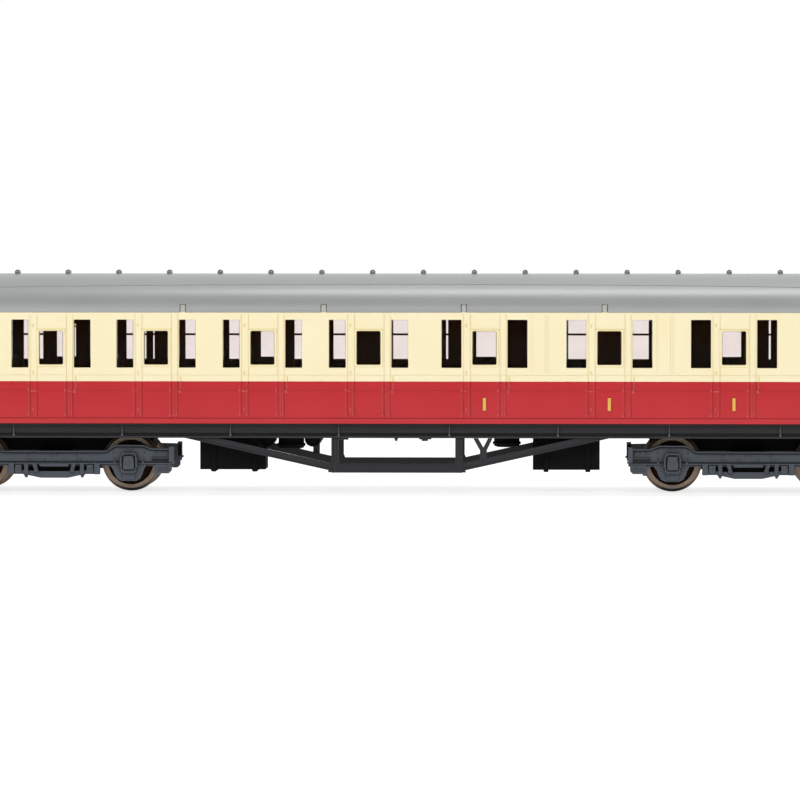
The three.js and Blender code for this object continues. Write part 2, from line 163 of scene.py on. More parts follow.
def soften(piece, width, segments=2, angle=35):
    """Bevels the real edges by width in mm, then evens the shading of the flats beside them."""
    only(piece)
    if width:
        modifier = piece.modifiers.new("soft_edges", "BEVEL")
        modifier.width, modifier.segments = width * MM, segments
        modifier.limit_method, modifier.angle_limit = "ANGLE", math.radians(angle)
        bpy.ops.object.modifier_apply(modifier=modifier.name)
    bpy.ops.object.shade_smooth_by_angle(angle=math.radians(angle))
    modifier = piece.modifiers.new("even_shading", "WEIGHTED_NORMAL")
    modifier.keep_sharp = True
    bpy.ops.object.modifier_apply(modifier=modifier.name)
    return piece


def copied(piece, move=(0, 0, 0), turn=0):
    """A copy with a mesh of its own, turned about the coach's upright axis and then moved."""
    twin = piece.copy()
    twin.data = piece.data.copy()
    bpy.context.collection.objects.link(twin)
    twin.data.transform(Matrix.Translation(mm(*move)) @ Matrix.Rotation(math.radians(turn), 4, "Z"))
    return twin


def hand_over(piece, name, material, body, slot, *nodes):
    """Names a finished piece, gives it its finish, hangs it on the body it rides on and hides the CAD nodes
    that it replaces; slot is not used.
    """
    piece.name = name
    piece.data.name = name
    piece.data.materials.clear()
    piece.data.materials.append(material)
    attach(piece, body)
    if nodes:
        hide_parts(*nodes)
    print(name, len(piece.data.polygons), "faces")
    return piece


def rounded(x, z, radius, steps=3):
    """The outline of a rectangle with round corners."""
    corners = [(x[1] - radius, z[1] - radius, 0), (x[0] + radius, z[1] - radius, 90),
               (x[0] + radius, z[0] + radius, 180), (x[1] - radius, z[0] + radius, 270)]
    outline = []
    for centre_x, centre_z, start in corners:
        for step in range(steps + 1):
            angle = math.radians(start + 90 * step / steps)
            outline.append((centre_x + radius * math.cos(angle), centre_z + radius * math.sin(angle)))
    return outline


# %% [markdown]
# ## The finishes
# A colour is written as the hex value that a painter would match, and turned to linear light by one function.
# Every material reads Object coordinates. A piece's object sits at the origin, so a pattern is fixed to the
# piece and has a real size: a noise scale is one divided by the grain's size in metres.

# %% Colour and node helpers
def linear(hex_colour):
    parts = [int(hex_colour[i:i + 2], 16) / 255 for i in (1, 3, 5)]
    return (*[p / 12.92 if p <= 0.04045 else ((p + 0.055) / 1.055) ** 2.4 for p in parts], 1.0)


def add(tree, kind, values=None, links=None, **settings):
    node = tree.nodes.new(kind)
    for key, value in settings.items():
        setattr(node, key, value)
    for socket, value in (values or {}).items():
        node.inputs[socket].default_value = value
    for socket, source in (links or {}).items():
        tree.links.new(source, node.inputs[socket])
    return node


def new_finish(name):
    """An empty material with its shader and its Object coordinates."""
    material = bpy.data.materials.new(name)
    material.use_nodes = True
    tree = material.node_tree
    tree.nodes.clear()
    shader = add(tree, "ShaderNodeBsdfPrincipled")
    add(tree, "ShaderNodeOutputMaterial", links={"Surface": shader.outputs["BSDF"]})
    coordinates = add(tree, "ShaderNodeTexCoord").outputs["Object"]
    return material, tree, shader, coordinates


def grain(tree, coordinates, size, detail=4):
    """Noise whose features are about size millimetres across."""
    noise = add(tree, "ShaderNodeTexNoise", {"Scale": 1 / (size * MM), "Detail": detail},
                {"Vector": coordinates})
    return noise.outputs["Fac"]


def ramp(tree, factor, low, high, start=0.35, end=0.65):
    """Blends from low to high, which are colours or numbers, as factor goes from start to end."""
    spread = add(tree, "ShaderNodeMapRange", {"From Min": start, "From Max": end}, {"Value": factor})
    if isinstance(low, tuple):
        mixed = add(tree, "ShaderNodeMix", {"A": low, "B": high}, {"Factor": spread.outputs[0]},
                    data_type="RGBA")
        mixed.inputs[6].default_value, mixed.inputs[7].default_value = low, high
        return mixed.outputs[2]
    spread.inputs["To Min"].default_value, spread.inputs["To Max"].default_value = low, high
    return spread.outputs[0]


def relief(tree, shader, height, depth):
    bump = add(tree, "ShaderNodeBump", {"Strength": 0.5, "Distance": depth * MM}, {"Height": height})
    tree.links.new(bump.outputs["Normal"], shader.inputs["Normal"])


def above(tree, value, limit):
    return add(tree, "ShaderNodeMath", {1: limit * MM}, {0: value}, operation="GREATER_THAN").outputs[0]


def choose(tree, factor, off, on):
    mixed = add(tree, "ShaderNodeMix", links={"Factor": factor}, data_type="RGBA")
    for socket, source in ((mixed.inputs[6], off), (mixed.inputs[7], on)):
        if isinstance(source, tuple):
            socket.default_value = source
        else:
            tree.links.new(source, socket)
    return mixed.outputs[2]


# %% [markdown]
# ### Moulded plastics
# The underframe, the bogies, the roof and the interior are injection moulded polystyrene, left in the
# colour of the plastic or given one flat coat. What the eye sees is a fine grain from the tool, a sheen
# that varies slightly where it has been handled, and a little pale dust. The grain is drawn at 0.25 mm,
# coarser than a real spark-eroded tool leaves it, so that it shows at this distance. On the underframe
# and the bogies, corners and grooves are also darkened to near black: painted shade.

# %% One recipe for the moulded plastics
def in_corners(tree, reach, alone=True):
    """Goes from 0 in a corner or a groove to 1 on open surfaces; reach is how wide the shade is in mm."""
    shade = add(tree, "ShaderNodeAmbientOcclusion", {"Distance": reach * MM}, samples=6, only_local=alone)
    return shade.outputs["AO"]


def moulded_plastic(name, dark, light, roughness, grain_size=0.25, depth=0.012, specular=0.5, corner_shade_reach=0.0):
    material, tree, shader, coordinates = new_finish(name)
    cloud = grain(tree, coordinates, 14, 1)
    fine = grain(tree, coordinates, grain_size, 2)
    colour = ramp(tree, cloud, linear(dark), linear(light), 0.0, 1.0)
    # Painted shade: near other surfaces of the same piece, in corners and grooves, the colour goes to near
    # black.
    if corner_shade_reach:
        colour = choose(tree, ramp(tree, in_corners(tree, corner_shade_reach), 0.0, 1.0, 0.4, 0.92), linear("#08080A"),
                        colour)
    tree.links.new(colour, shader.inputs["Base Color"])
    tree.links.new(ramp(tree, cloud, roughness - 0.03, roughness + 0.03, 0.0, 1.0),
                   shader.inputs["Roughness"])
    shader.inputs["Specular IOR Level"].default_value = specular
    shader.inputs["IOR"].default_value = 1.5
    relief(tree, shader, fine, depth)
    return material


roof_plastic = moulded_plastic("roof_grey_moulded_polystyrene", "#8C8F8F", "#929594", 0.33, 0.5, 0.001, 0.9)
underframe_plastic = moulded_plastic("underframe_dark_moulded_polystyrene", "#201F23", "#28272B", 0.5,
                                     specular=0.4, corner_shade_reach=1.1)
box_plastic = moulded_plastic("underfloor_boxes_black_moulded_polystyrene", "#101010", "#151515", 0.85,
                              specular=0.08)
bogie_plastic = moulded_plastic("bogie_blue_grey_moulded_acetal", "#3A4048", "#484F5A", 0.42, 0.3, 0.035,
                                0.5, corner_shade_reach=1.4)
interior_plastic = moulded_plastic("interior_brown_moulded_polystyrene", "#663818", "#774422", 0.7,
                                   specular=0.05)
# Painted highlight: the solebar ribs are a lighter grey than the black channel so that they read as lit
# upright lines.
rib_highlight_plastic = moulded_plastic("solebar_ribs_painted_highlight_polystyrene", "#4A494D", "#58575A", 0.4)
bellows_plastic = moulded_plastic("gangway_black_moulded_polystyrene", "#111012", "#1A191B", 0.7,
                                  specular=0.3)
print("moulded plastics ready")

# %% [markdown]
# ### Paint on the sides
# The sides are one moulding sprayed cream and then crimson behind a mask, so one material carries both
# colours and splits them at the waist. The mask line is not quite straight at this size, so a fine noise
# moves it by a few hundredths of a millimetre. The ends are black, and the inside of the shell keeps the
# dark plastic. Where a surface turns away from the side, on groove walls and window reveals, the colour is
# darkened as painted shade, and the small bevels on the edges are lightened as painted highlight.

# %% The two-colour paint
PAINT_LINE = 26.75
CANTRAIL = 43.2
INNER_FACE_Y = 16.83
END_FACE_X = 119.9


def sides_paint():
    material, tree, shader, coordinates = new_finish("cream_and_crimson_sprayed_enamel")
    place = add(tree, "ShaderNodeSeparateXYZ", links={0: coordinates}).outputs
    size = [add(tree, "ShaderNodeMath", links={0: place[axis]}, operation="ABSOLUTE").outputs[0]
            for axis in range(3)]
    cloud = grain(tree, coordinates, 14)
    edge = grain(tree, coordinates, 0.8, 2)
    creep = add(tree, "ShaderNodeMath", {1: 0.08 * MM}, {0: edge}, operation="MULTIPLY").outputs[0]
    height = add(tree, "ShaderNodeMath", links={0: place["Z"], 1: creep}, operation="ADD").outputs[0]
    cream = ramp(tree, cloud, linear("#FBEEC3"), linear("#FDF1CB"), 0.3, 0.7)
    crimson = ramp(tree, cloud, linear("#BD2027"), linear("#C3252B"), 0.3, 0.7)
    colour = choose(tree, above(tree, height, PAINT_LINE), crimson, cream)
    # Painted shade: groove walls and window reveals, which face away from the side, get a darker crimson or a
    # darker yellow.
    recess_shade = choose(tree, above(tree, height, PAINT_LINE), linear("#7D141B"), linear("#D8C463"))
    facing = add(tree, "ShaderNodeSeparateXYZ", links={0: coordinates.node.outputs["Normal"]}).outputs["Y"]
    facing = add(tree, "ShaderNodeMath", links={0: facing}, operation="ABSOLUTE").outputs[0]
    # Painted highlight: the bevels on edges and grooves get a lighter crimson or a lighter cream, as if
    # catching the light.
    edge_highlight = choose(tree, above(tree, height, PAINT_LINE), linear("#DB6A66"), linear("#EAD97F"))
    colour = choose(tree, ramp(tree, facing, 1.0, 0.0, 0.9, 0.99), colour, edge_highlight)
    colour = choose(tree, ramp(tree, facing, 1.0, 0.0, 0.3, 0.6), colour, recess_shade)
    clips = linear("#AEAFAA")
    colour = choose(tree, above(tree, place["Z"], CANTRAIL + 0.05), colour, clips)
    outside = add(tree, "ShaderNodeMath", links={0: above(tree, size[1], INNER_FACE_Y),
                                                 1: above(tree, size[0], END_FACE_X)},
                  operation="MAXIMUM").outputs[0]
    colour = choose(tree, outside, linear("#5C3816"), colour)
    colour = choose(tree, above(tree, size[0], END_FACE_X), colour, linear("#29282B"))
    tree.links.new(colour, shader.inputs["Base Color"])
    tree.links.new(ramp(tree, cloud, 0.3, 0.36, 0.0, 1.0), shader.inputs["Roughness"])
    shader.inputs["Specular IOR Level"].default_value = 0.35
    relief(tree, shader, grain(tree, coordinates, 0.6, 2), 0.004)
    return material


side_paint = sides_paint()

# %% [markdown]
# ### Metals, clear styrene and the gold numerals
# The tyres are turned steel that has dulled to brown. Turning leaves rings, which follow the wheel, so the
# rings are drawn from the distance to the nearest axle. The glazing is clear polystyrene, thin enough that
# its faint warm tint only shows where two panes overlap.

# %% Metals, glazing and gold
def plain_metal(name, dark, light, roughness, grain_size):
    material, tree, shader, coordinates = new_finish(name)
    cloud = grain(tree, coordinates, grain_size)
    tree.links.new(ramp(tree, cloud, linear(dark), linear(light)), shader.inputs["Base Color"])
    tree.links.new(ramp(tree, cloud, roughness, roughness + 0.12), shader.inputs["Roughness"])
    shader.inputs["Metallic"].default_value = 1.0
    relief(tree, shader, grain(tree, coordinates, 0.2, 2), 0.006)
    return material


def wheel_finish():
    """Browned tyre round a darker disc, with turning rings that follow the distance from the nearest axle.
    The flange band and the parts closed in by the bogie are darkened as painted shade.
    """
    material, tree, shader, coordinates = new_finish("tyre_turned_steel_browned")

    def maths(operation, *values):
        node = add(tree, "ShaderNodeMath", operation=operation)
        for socket, value in zip(node.inputs, values):
            if isinstance(value, (int, float)):
                socket.default_value = value
            else:
                tree.links.new(value, socket)
        return node.outputs[0]

    place = add(tree, "ShaderNodeSeparateXYZ", links={0: coordinates}).outputs
    from_bogie = maths("ABSOLUTE", maths("SUBTRACT", maths("ABSOLUTE", place["X"]), 83 * MM))
    across = maths("POWER", maths("ABSOLUTE", maths("SUBTRACT", from_bogie, 18 * MM)), 2.0)
    upright = maths("POWER", maths("ABSOLUTE", maths("SUBTRACT", place["Z"], 7.05 * MM)), 2.0)
    radius = maths("SQRT", maths("ADD", across, upright))
    cloud = grain(tree, coordinates, 1.5)
    tread = ramp(tree, cloud, linear("#968678"), linear("#AC9C8B"))
    # Painted shade: the flange band is a darker brown than the tread.
    flange = ramp(tree, cloud, linear("#76675D"), linear("#87776B"))
    disc = ramp(tree, cloud, linear("#241915"), linear("#33241C"))
    tyre = choose(tree, above(tree, radius, 6.3), tread, flange)
    turned_parts = choose(tree, above(tree, radius, 5.35), disc, tyre)
    # Painted shade: where the bogie and the floor close in round the wheel, the colour goes to near black.
    open_to_light = ramp(tree, in_corners(tree, 5.0, False), 0.0, 1.0, 0.2, 0.55)
    tree.links.new(choose(tree, open_to_light, linear("#0C0A09"), turned_parts),
                   shader.inputs["Base Color"])
    tree.links.new(ramp(tree, cloud, 0.5, 0.62), shader.inputs["Roughness"])
    shader.inputs["Metallic"].default_value = 1.0
    relief(tree, shader, maths("SINE", maths("MULTIPLY", radius, math.tau / (0.3 * MM))), 0.01)
    return material


wheel_metal = wheel_finish()
bright_steel = plain_metal("axle_turned_mild_steel", "#8F8D88", "#A9A7A1", 0.25, 2.5)
black_steel = plain_metal("hook_blackened_steel", "#1F1F20", "#2C2B2A", 0.4, 2)


def clear_styrene():
    material, tree, shader, coordinates = new_finish("glazing_clear_moulded_styrene")
    smear = grain(tree, coordinates, 6)
    tree.links.new(ramp(tree, smear, 0.01, 0.05), shader.inputs["Roughness"])
    tree.links.new(ramp(tree, smear, linear("#F3ECEA"), linear("#F8F2F0")), shader.inputs["Base Color"])
    shader.inputs["Transmission Weight"].default_value = 1.0
    shader.inputs["IOR"].default_value = 1.12
    shader.inputs["Specular IOR Level"].default_value = 0.3
    return material


def gold_paint():
    material, tree, shader, coordinates = new_finish("numeral_printed_gold_ink")
    fleck = grain(tree, coordinates, 0.15, 2)
    tree.links.new(ramp(tree, fleck, linear("#D9A93C"), linear("#EFC75E")), shader.inputs["Base Color"])
    shader.inputs["Roughness"].default_value = 0.45
    return material


clear_glazing = clear_styrene()
gold_ink = gold_paint()
print("metals, glazing and gold ready")

# %% [markdown]
# ## Where things are
# The frame gives the boxes of the CAD nodes. A few driving sizes, the same ones that the CAD is drawn from,
# place the windows and doors between them.

# %% Sizes of the body
shell_low, shell_high = [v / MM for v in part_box("body_shell")]
roof_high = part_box("roof")[1] / MM
HALF_LENGTH, HALF_WIDTH, SILL = shell_high.x, shell_high.y, shell_low.z
WALL = 1.2
THIRD_DOORS = (-83.3, -58.2, -32.8, -7.5)
FIRST_DOORS = (20.1, 49.8, 79.4)
CORRIDOR_DOORS = (-83.2, -32.9, 20.0, 80.0)
DROPLIGHT = ((-2.8, 2.8), (30.75, 38.65))
CORRIDOR_DROPLIGHT_Z = (31.65, 39.6)
SIDE_LIGHT_Z = (30.0, 41.35)
CORRIDOR_LIGHT_Z = (31.1, 40.8)
CORRIDOR_LIGHTS = ((-96, -88.4), (-77.5, -63.4), (-61.85, -55.4), (-54.0, -38.6), (-27.2, -12.9),
                   (-11.35, -4.9), (-3.4, 14.3), (25.7, 38.8), (40.1, 49.2), (50.7, 60.0), (61.5, 74.3),
                   (85.7, 96))
TOILET_LIGHTS = ((-107.7, -102.3), (101.8, 107.2))
TOILET_LIGHT_Z = (31.5, 40.2)
CLIPS = (-51.8, -18.2, 15.2, 48.7)


def beside(door, offset, width):
    return (door + offset - width / 2, door + offset + width / 2)


compartment_lights = [(beside(door, 0, 5.6), DROPLIGHT[1]) for door in THIRD_DOORS + FIRST_DOORS]
for door in THIRD_DOORS:
    compartment_lights += [(beside(door, side * 7.45, 3.92), SIDE_LIGHT_Z) for side in (-1, 1)]
for door in FIRST_DOORS:
    compartment_lights += [(beside(door, side * 7.85, 4.64), SIDE_LIGHT_Z) for side in (-1, 1)]
compartment_lights += [(x, TOILET_LIGHT_Z) for x in TOILET_LIGHTS]
corridor_lights = [(x, CORRIDOR_LIGHT_Z) for x in CORRIDOR_LIGHTS]
corridor_lights += [(beside(door, 0, 5.6), CORRIDOR_DROPLIGHT_Z) for door in CORRIDOR_DOORS]
print(len(compartment_lights), "lights on the compartment side,", len(corridor_lights),
      "on the corridor side")

# %% [markdown]
# ## The body shell
# The real shell is one moulding: two thin sides that curve in a little below the waist, and two ends that
# rise to the roof. The side is drawn as a section and extruded the whole length, which gives the curve for
# nothing. The windows are cut with one tool made of many small tapered plates, because a mould needs draft
# and the reveal that it leaves round each window, coloured a darker yellow as painted shade, is what the
# eye reads as a painted frame. Door joints are cut as fine grooves in two passes, uprights first and then
# the long lines, since a cutter may not cross itself.

# %% Section of the sides and shape of the ends
SIDE_CURVE = [(17.2, SILL), (17.42, 17.9), (17.66, 19.6), (17.85, 21.6), (17.95, 23.8), (18, 26.2),
              (18, CANTRAIL - 0.05)]
CROWN = roof_high.z - 0.95
ARC_BIG, ARC_SMALL, JOIN_ANGLE, EAVES_ANGLE = 27.0, 11.05, 30.0, 67.7
big_centre = CROWN - ARC_BIG
small_centre = ((ARC_BIG - ARC_SMALL) * math.sin(math.radians(JOIN_ANGLE)),
                big_centre + (ARC_BIG - ARC_SMALL) * math.cos(math.radians(JOIN_ANGLE)))


def roof_point(angle, inset=0.0):
    """The point of the roof's section whose outward direction leans angle degrees from upright."""
    side = -1 if angle < 0 else 1
    lean = math.radians(abs(angle))
    centre, radius = ((0, big_centre), ARC_BIG) if abs(angle) <= JOIN_ANGLE else (small_centre, ARC_SMALL)
    return (side * (centre[0] + (radius - inset) * math.sin(lean)),
            centre[1] + (radius - inset) * math.cos(lean))


def body_walls():
    inner = [(y - WALL, z) for y, z in reversed(SIDE_CURVE)]
    section = SIDE_CURVE + inner
    right = plate(section, (-HALF_LENGTH, HALF_LENGTH), "x")
    left = plate([(-y, z) for y, z in section], (-HALF_LENGTH, HALF_LENGTH), "x")
    dome = [roof_point(EAVES_ANGLE * (1 - step / 8), 1.12) for step in range(17)]
    outline = [(y - WALL / 2, z) for y, z in SIDE_CURVE] + dome
    outline += [(-y + WALL / 2, z) for y, z in reversed(SIDE_CURVE)]
    walls = join(right, left)
    for x in ((HALF_LENGTH - 1.4, HALF_LENGTH), (-HALF_LENGTH, 1.4 - HALF_LENGTH)):
        walls = boolean(walls, plate(outline, x, "x"), "UNION")
    return walls


def light_cutter(x, z, side, draft=0.05):
    """A window-shaped plate that widens by draft through the thickness of the wall."""
    tool = plate(rounded(x, z, 0.16), (side * 15.6, side * 19.2), "y")
    grow = draft * (19.2 - 16.8) / WALL * 2
    middle = mm(sum(x) / 2, side * 19.2, sum(z) / 2)
    spread = (1 + grow / (x[1] - x[0]), 1, 1 + grow / (z[1] - z[0]))

    def widen():
        bpy.ops.mesh.select_all(action="DESELECT")
        bpy.ops.object.mode_set(mode="OBJECT")
        for face in tool.data.polygons:
            face.select = face.normal.y * side > 0.9
        bpy.ops.object.mode_set(mode="EDIT")
        bpy.ops.transform.resize(value=spread, center_override=middle)

    return edit(tool, widen)


walls = body_walls()
windows = [light_cutter(x, z, -1) for x, z in compartment_lights]
windows += [light_cutter(x, z, 1) for x, z in corridor_lights]
walls = boolean(walls, join(*windows), "DIFFERENCE")
print("walls with windows:", len(walls.data.polygons), "faces")

# %% Door joints, waist lines and the sill line
GROOVE = 0.22
UPRIGHTS = (-4.98, -3.3, 3.72, 5.2)
LONG_LINES = (17.9, 24.55, 28.2)


def groove(x, z, side, depth=0.16):
    y = sorted((side * (HALF_WIDTH - depth), side * (HALF_WIDTH + 1)))
    return block(x, y, z)


def sill_groove(side):
    surface = 17.42
    y = sorted((side * (surface - 0.16), side * (surface + 1)))
    return block((-HALF_LENGTH + 0.6, HALF_LENGTH - 0.6), y,
                 (LONG_LINES[0] - GROOVE / 2, LONG_LINES[0] + GROOVE / 2))


def upright_grooves(doors, side):
    tools = []
    for door in doors:
        for offset in UPRIGHTS:
            x = door + offset
            tools.append(groove((x - GROOVE / 2, x + GROOVE / 2), (23.4, 42.6), side))
            curve = [(17.3, 18.2), (17.48, 19.6), (17.67, 21.6), (17.78, 23.9), (19, 23.9), (19, 18.2)]
            lean = plate([(side * y, z) for y, z in curve], (x - GROOVE / 2, x + GROOVE / 2), "x")
            tools[-1] = boolean(tools[-1], lean, "UNION")
    return tools


PANEL_JOINTS = (31.4, 34.65, 35.25, 61.1, 64.35, 64.95)
uprights = upright_grooves(THIRD_DOORS + FIRST_DOORS, -1) + upright_grooves(CORRIDOR_DOORS, 1)
uprights += [groove((x - 0.07, x + 0.07), (28.6, 42.6), -1, 0.1) for x in PANEL_JOINTS]
walls = boolean(walls, join(*uprights), "DIFFERENCE")
lines = [groove((-HALF_LENGTH + 0.6, HALF_LENGTH - 0.6), (z - half, z + half), side, 0.1)
         for z, half in ((LONG_LINES[1], 0.08), (LONG_LINES[2], 0.03)) for side in (-1, 1)]
walls = boolean(walls, join(*lines, sill_groove(-1), sill_groove(1)), "DIFFERENCE")
clip_tabs = []
for side in (-1, 1):
    tab = [roof_point(side * angle, 0.1) for angle in (66.9, 63.5, 60.5, 57.0)]
    tab += [roof_point(side * angle, 0.8) for angle in (57.0, 60.5, 63.5)] + [(side * 17.2, CANTRAIL - 0.4),
        (side * 17.7, CANTRAIL - 0.4)]
    clip_tabs += [soften(plate(tab, (x - 0.57, x + 0.57), "x"), 0.04) for x in CLIPS]
walls = soften(walls, 0.07)
shell = join(walls, *clip_tabs)
hand_over(shell, "body_sides_and_ends", side_paint, "coach", "cream_crimson_plastic", "body_shell")

# %% [markdown]
# ## Door furniture and droplight frames
# Every compartment door has a raised frame round its drop window, three hinges on one edge, and a handle
# and a grab rail beside the other. They are moulded on the real thing, so they take the side's paint. One
# door's set is modelled and then copied to each door.

# %% One door's furniture, then one for each door
FACE = -HALF_WIDTH


def window_frame(x, z, width=0.58, proud=0.15):
    outer = rounded((x[0] - width, x[1] + width), (z[0] - width, z[1] + width), 0.5)
    ring = plate(outer, (FACE - proud, FACE + 0.12), "y")
    hole = plate(rounded((x[0] - 0.08, x[1] + 0.08), (z[0] - 0.08, z[1] + 0.08), 0.4), (FACE - 1, FACE + 1),
                 "y")
    return soften(boolean(ring, hole, "DIFFERENCE"), 0.12)


BEAD_CURVE = [(17.5, 18.4), (17.66, 19.6), (17.85, 21.6), (17.95, 23.8), (18.0, 26.5)]


def door_furniture():
    parts = [window_frame(*DROPLIGHT)]
    parts.append(block((-3.55, 3.55), (FACE - 0.19, FACE + 0.1), (38.85, 39.15), 0.11))
    for z, surface in ((40.0, FACE), (28.75, FACE), (20.0, FACE + 0.32)):
        parts.append(block((-4.55, -4.15), (surface - 0.16, surface + 0.3), (z - 0.38, z + 0.38), 0.13))
    parts.append(rod(0.32, -0.18, 0.3, "y", (5.65, FACE, 24.25), 16, 0.08))
    parts.append(rod(0.14, 24.9, 27.7, "z", (5.85, FACE - 0.05, 0), 10, 0.05))
    for z in (24.9, 27.7):
        parts.append(block((5.7, 6.0), (FACE - 0.19, FACE + 0.1), (z - 0.18, z + 0.18), 0.08))
    for x in (-5.45, -3.8, 3.3, 4.25, 4.85):
        bead = [(-y - proud, z) for proud, slope in ((0.07, 1), (-0.1, -1)) for y, z in BEAD_CURVE[::slope]]
        parts.append(soften(plate(bead, (x - 0.11, x + 0.11), "x"), 0.08))
    for x, z, surface in ((-5.45, 24.6, 0), (3.3, 24.6, 0), (-5.45, 18.5, 0.43), (3.3, 18.5, 0.43)):
        parts.append(rod(0.22, -0.12, 0.3, "y", (x, FACE + surface, z), 10, 0.05))
    return join(*parts)


one_door = door_furniture()
near_doors = [copied(one_door, (door, 0, 0)) for door in THIRD_DOORS + FIRST_DOORS]
far_doors = [copied(one_door, (door, 0, 0), 180) for door in CORRIDOR_DOORS]
bpy.data.objects.remove(one_door, do_unlink=True)
for side, doors in (("compartment", near_doors), ("corridor", far_doors)):
    furniture = soften(join(*doors), 0)
    hand_over(furniture, f"door_furniture_{side}_side", side_paint, "coach", "cream_crimson_plastic")


# %% The class numerals
def numeral(x):
    """A plain bar for a figure 1, printed on the door."""
    y = (FACE + 0.2, FACE + 0.34)
    return block((x - 0.37, x + 0.37), y, (19.8, 22.8), 0.04)


numerals = soften(join(*[numeral(door) for door in FIRST_DOORS]), 0)
numerals.data.transform(Matrix.Translation(mm(0, -0.36, 0)))
hand_over(numerals, "first_class_numerals", gold_ink, "coach", "cream_crimson_plastic")

# %% [markdown]
# ## The roof
# The roof is a thin arched skin. Its section is two arcs that meet smoothly, so it is made the way a sheet
# is rolled: one long straight edge at the eaves is spun round the shoulder's centre, then round the
# crown's, then round the other shoulder's. Solidify gives it thickness, and the clip slots are cut from it
# afterwards.

# %% Rolling the roof
ROOF_END = roof_high.x
SLOT = 0.7


def roof_skin():
    start = roof_point(-EAVES_ANGLE)
    bpy.ops.object.select_all(action="DESELECT")
    bpy.ops.mesh.primitive_plane_add(size=1)
    skin = bpy.context.object
    ends = [(-ROOF_END, *start), (ROOF_END, *start)]
    for vertex, place in zip(skin.data.vertices, ends + ends):
        vertex.co = mm(*place)
    turns = [((0, -small_centre[0], small_centre[1]), EAVES_ANGLE - JOIN_ANGLE, 10),
             ((0, 0, big_centre), 2 * JOIN_ANGLE, 28),
             ((0, small_centre[0], small_centre[1]), EAVES_ANGLE - JOIN_ANGLE, 10)]
    moves = [lambda: bpy.ops.mesh.remove_doubles(threshold=0.01 * MM)]
    for centre, angle, steps in turns:
        moves.append(lambda c=centre, a=angle, n=steps: bpy.ops.mesh.spin(
            steps=n, angle=math.radians(a), center=mm(*c), axis=(1, 0, 0)))
    moves += [lambda: bpy.ops.mesh.select_all(action="SELECT"),
              lambda: bpy.ops.mesh.remove_doubles(threshold=0.01 * MM),
              lambda: bpy.ops.mesh.normals_make_consistent(inside=False)]
    return edit(skin, *moves)


skin = roof_skin()
print("roof skin spans", [round(v / MM, 2) for v in skin.dimensions])
if sum(face.normal.z * face.area for face in skin.data.polygons) < 0:
    edit(skin, lambda: bpy.ops.mesh.flip_normals())
thickness = skin.modifiers.new("thickness", "SOLIDIFY")
thickness.thickness, thickness.offset = 1.0 * MM, -1
only(skin)
bpy.ops.object.modifier_apply(modifier=thickness.name)
slots = [block((x - SLOT, x + SLOT), sorted((side * 16, side * 19)), (CANTRAIL - 1, CANTRAIL + 1.85))
         for x in CLIPS for side in (-1, 1)]
skin = boolean(skin, join(*slots), "DIFFERENCE")
skin = soften(skin, 0.05, 2, 40)
print("roof with clip slots:", len(skin.data.polygons), "faces")

# %% [markdown]
# ## Rainstrips, gutters and ventilators
# A rainstrip is a long shallow arch of half-round strip that sheds water away from the doors. Its foot
# follows the roof's curve, so each of its stations is worked out on the section. The ventilators stand on
# the centreline at an even pitch: short tubes lying across the roof with a hollow mouth at each end.


# %% Roof details
def rainstrip(side, reach=112.0, steps=56):
    """A three-sided strip laid on the roof, high in the middle and lower at its ends."""
    bpy.ops.object.select_all(action="DESELECT")
    bpy.ops.mesh.primitive_grid_add(x_subdivisions=steps, y_subdivisions=3, size=1)
    strip = bpy.context.object
    across = (-0.35, 0.0, 0.35, 0.5)
    lift = (-0.05, 0.1, 0.1, -0.05)
    for index, vertex in enumerate(strip.data.vertices):
        row, column = divmod(index, steps + 1)
        along = -1 + 2 * column / steps
        angle = 24.4 + 4.4 * along * along + across[row] * 1.1
        y, z = roof_point(side * angle, -lift[row])
        vertex.co = mm(reach * along, y, z)
    edit(strip, lambda: bpy.ops.mesh.normals_make_consistent(inside=False))
    if sum(face.normal.z for face in strip.data.polygons) < 0:
        edit(strip, lambda: bpy.ops.mesh.flip_normals())
    return strip


def gutter(side):
    """The shallow step above the eaves of the middle of the coach, where the roof tool has an insert."""
    curve = [roof_point(side * angle, -0.07) for angle in (58.0, 60.5, 63.0, 65.5)]
    back = [roof_point(side * angle, 0.3) for angle in (65.5, 63.0, 60.5, 58.0)]
    stops = [-52.5, *[x for x in CLIPS if -52.5 < x < 49.5], 49.5]
    lengths = [(start + 0.75 * (start in CLIPS), end - 0.75 * (end in CLIPS)) for start,
               end in zip(stops, stops[1:])]
    return join(*[soften(plate(curve + back, length, "x"), 0.03) for length in lengths])


def ventilator():
    mouth = [(0, -1.4), (0.2, -1.38), (0.34, -1.25), (0.4, -1.05), (0.46, -1.05), (0.52, -1.2),
             (0.62, -1.2), (0.66, -1.05)]
    profile = mouth + [(radius, -y) for radius, y in reversed(mouth)]
    tube = turned(profile, "y", (0, 0, CROWN + 0.28), 24)
    foot = block((-0.6, 0.6), (-0.95, 0.95), (CROWN - 0.25, CROWN + 0.16), 0.1)
    return soften(join(tube, foot), 0)


vent = ventilator()
vent_places = [-105.4 + 12.28 * index for index in range(18)]
vents = [copied(vent, (x, 0, 0)) for x in vent_places]
bpy.data.objects.remove(vent, do_unlink=True)
strips = join(rainstrip(-1), rainstrip(1))
only(strips)
bpy.ops.object.shade_smooth_by_angle(angle=math.radians(60))
roof = join(skin, strips, gutter(-1), gutter(1), *vents)
hand_over(roof, "roof_with_ventilators", roof_plastic, "coach", "roof_grey_plastic", "roof")

# %% [markdown]
# ## Glazing
# A glazing strip is a clear moulding with one raised pane for every window, so that the pane fills the
# opening almost flush. The panes are made as softened blocks and united with the strip, because two
# overlapping clear solids would show a false surface where they cross. The wide lights have a sliding top
# pane: its bar is drawn on the inside of the real thing, and is a dark strip here.


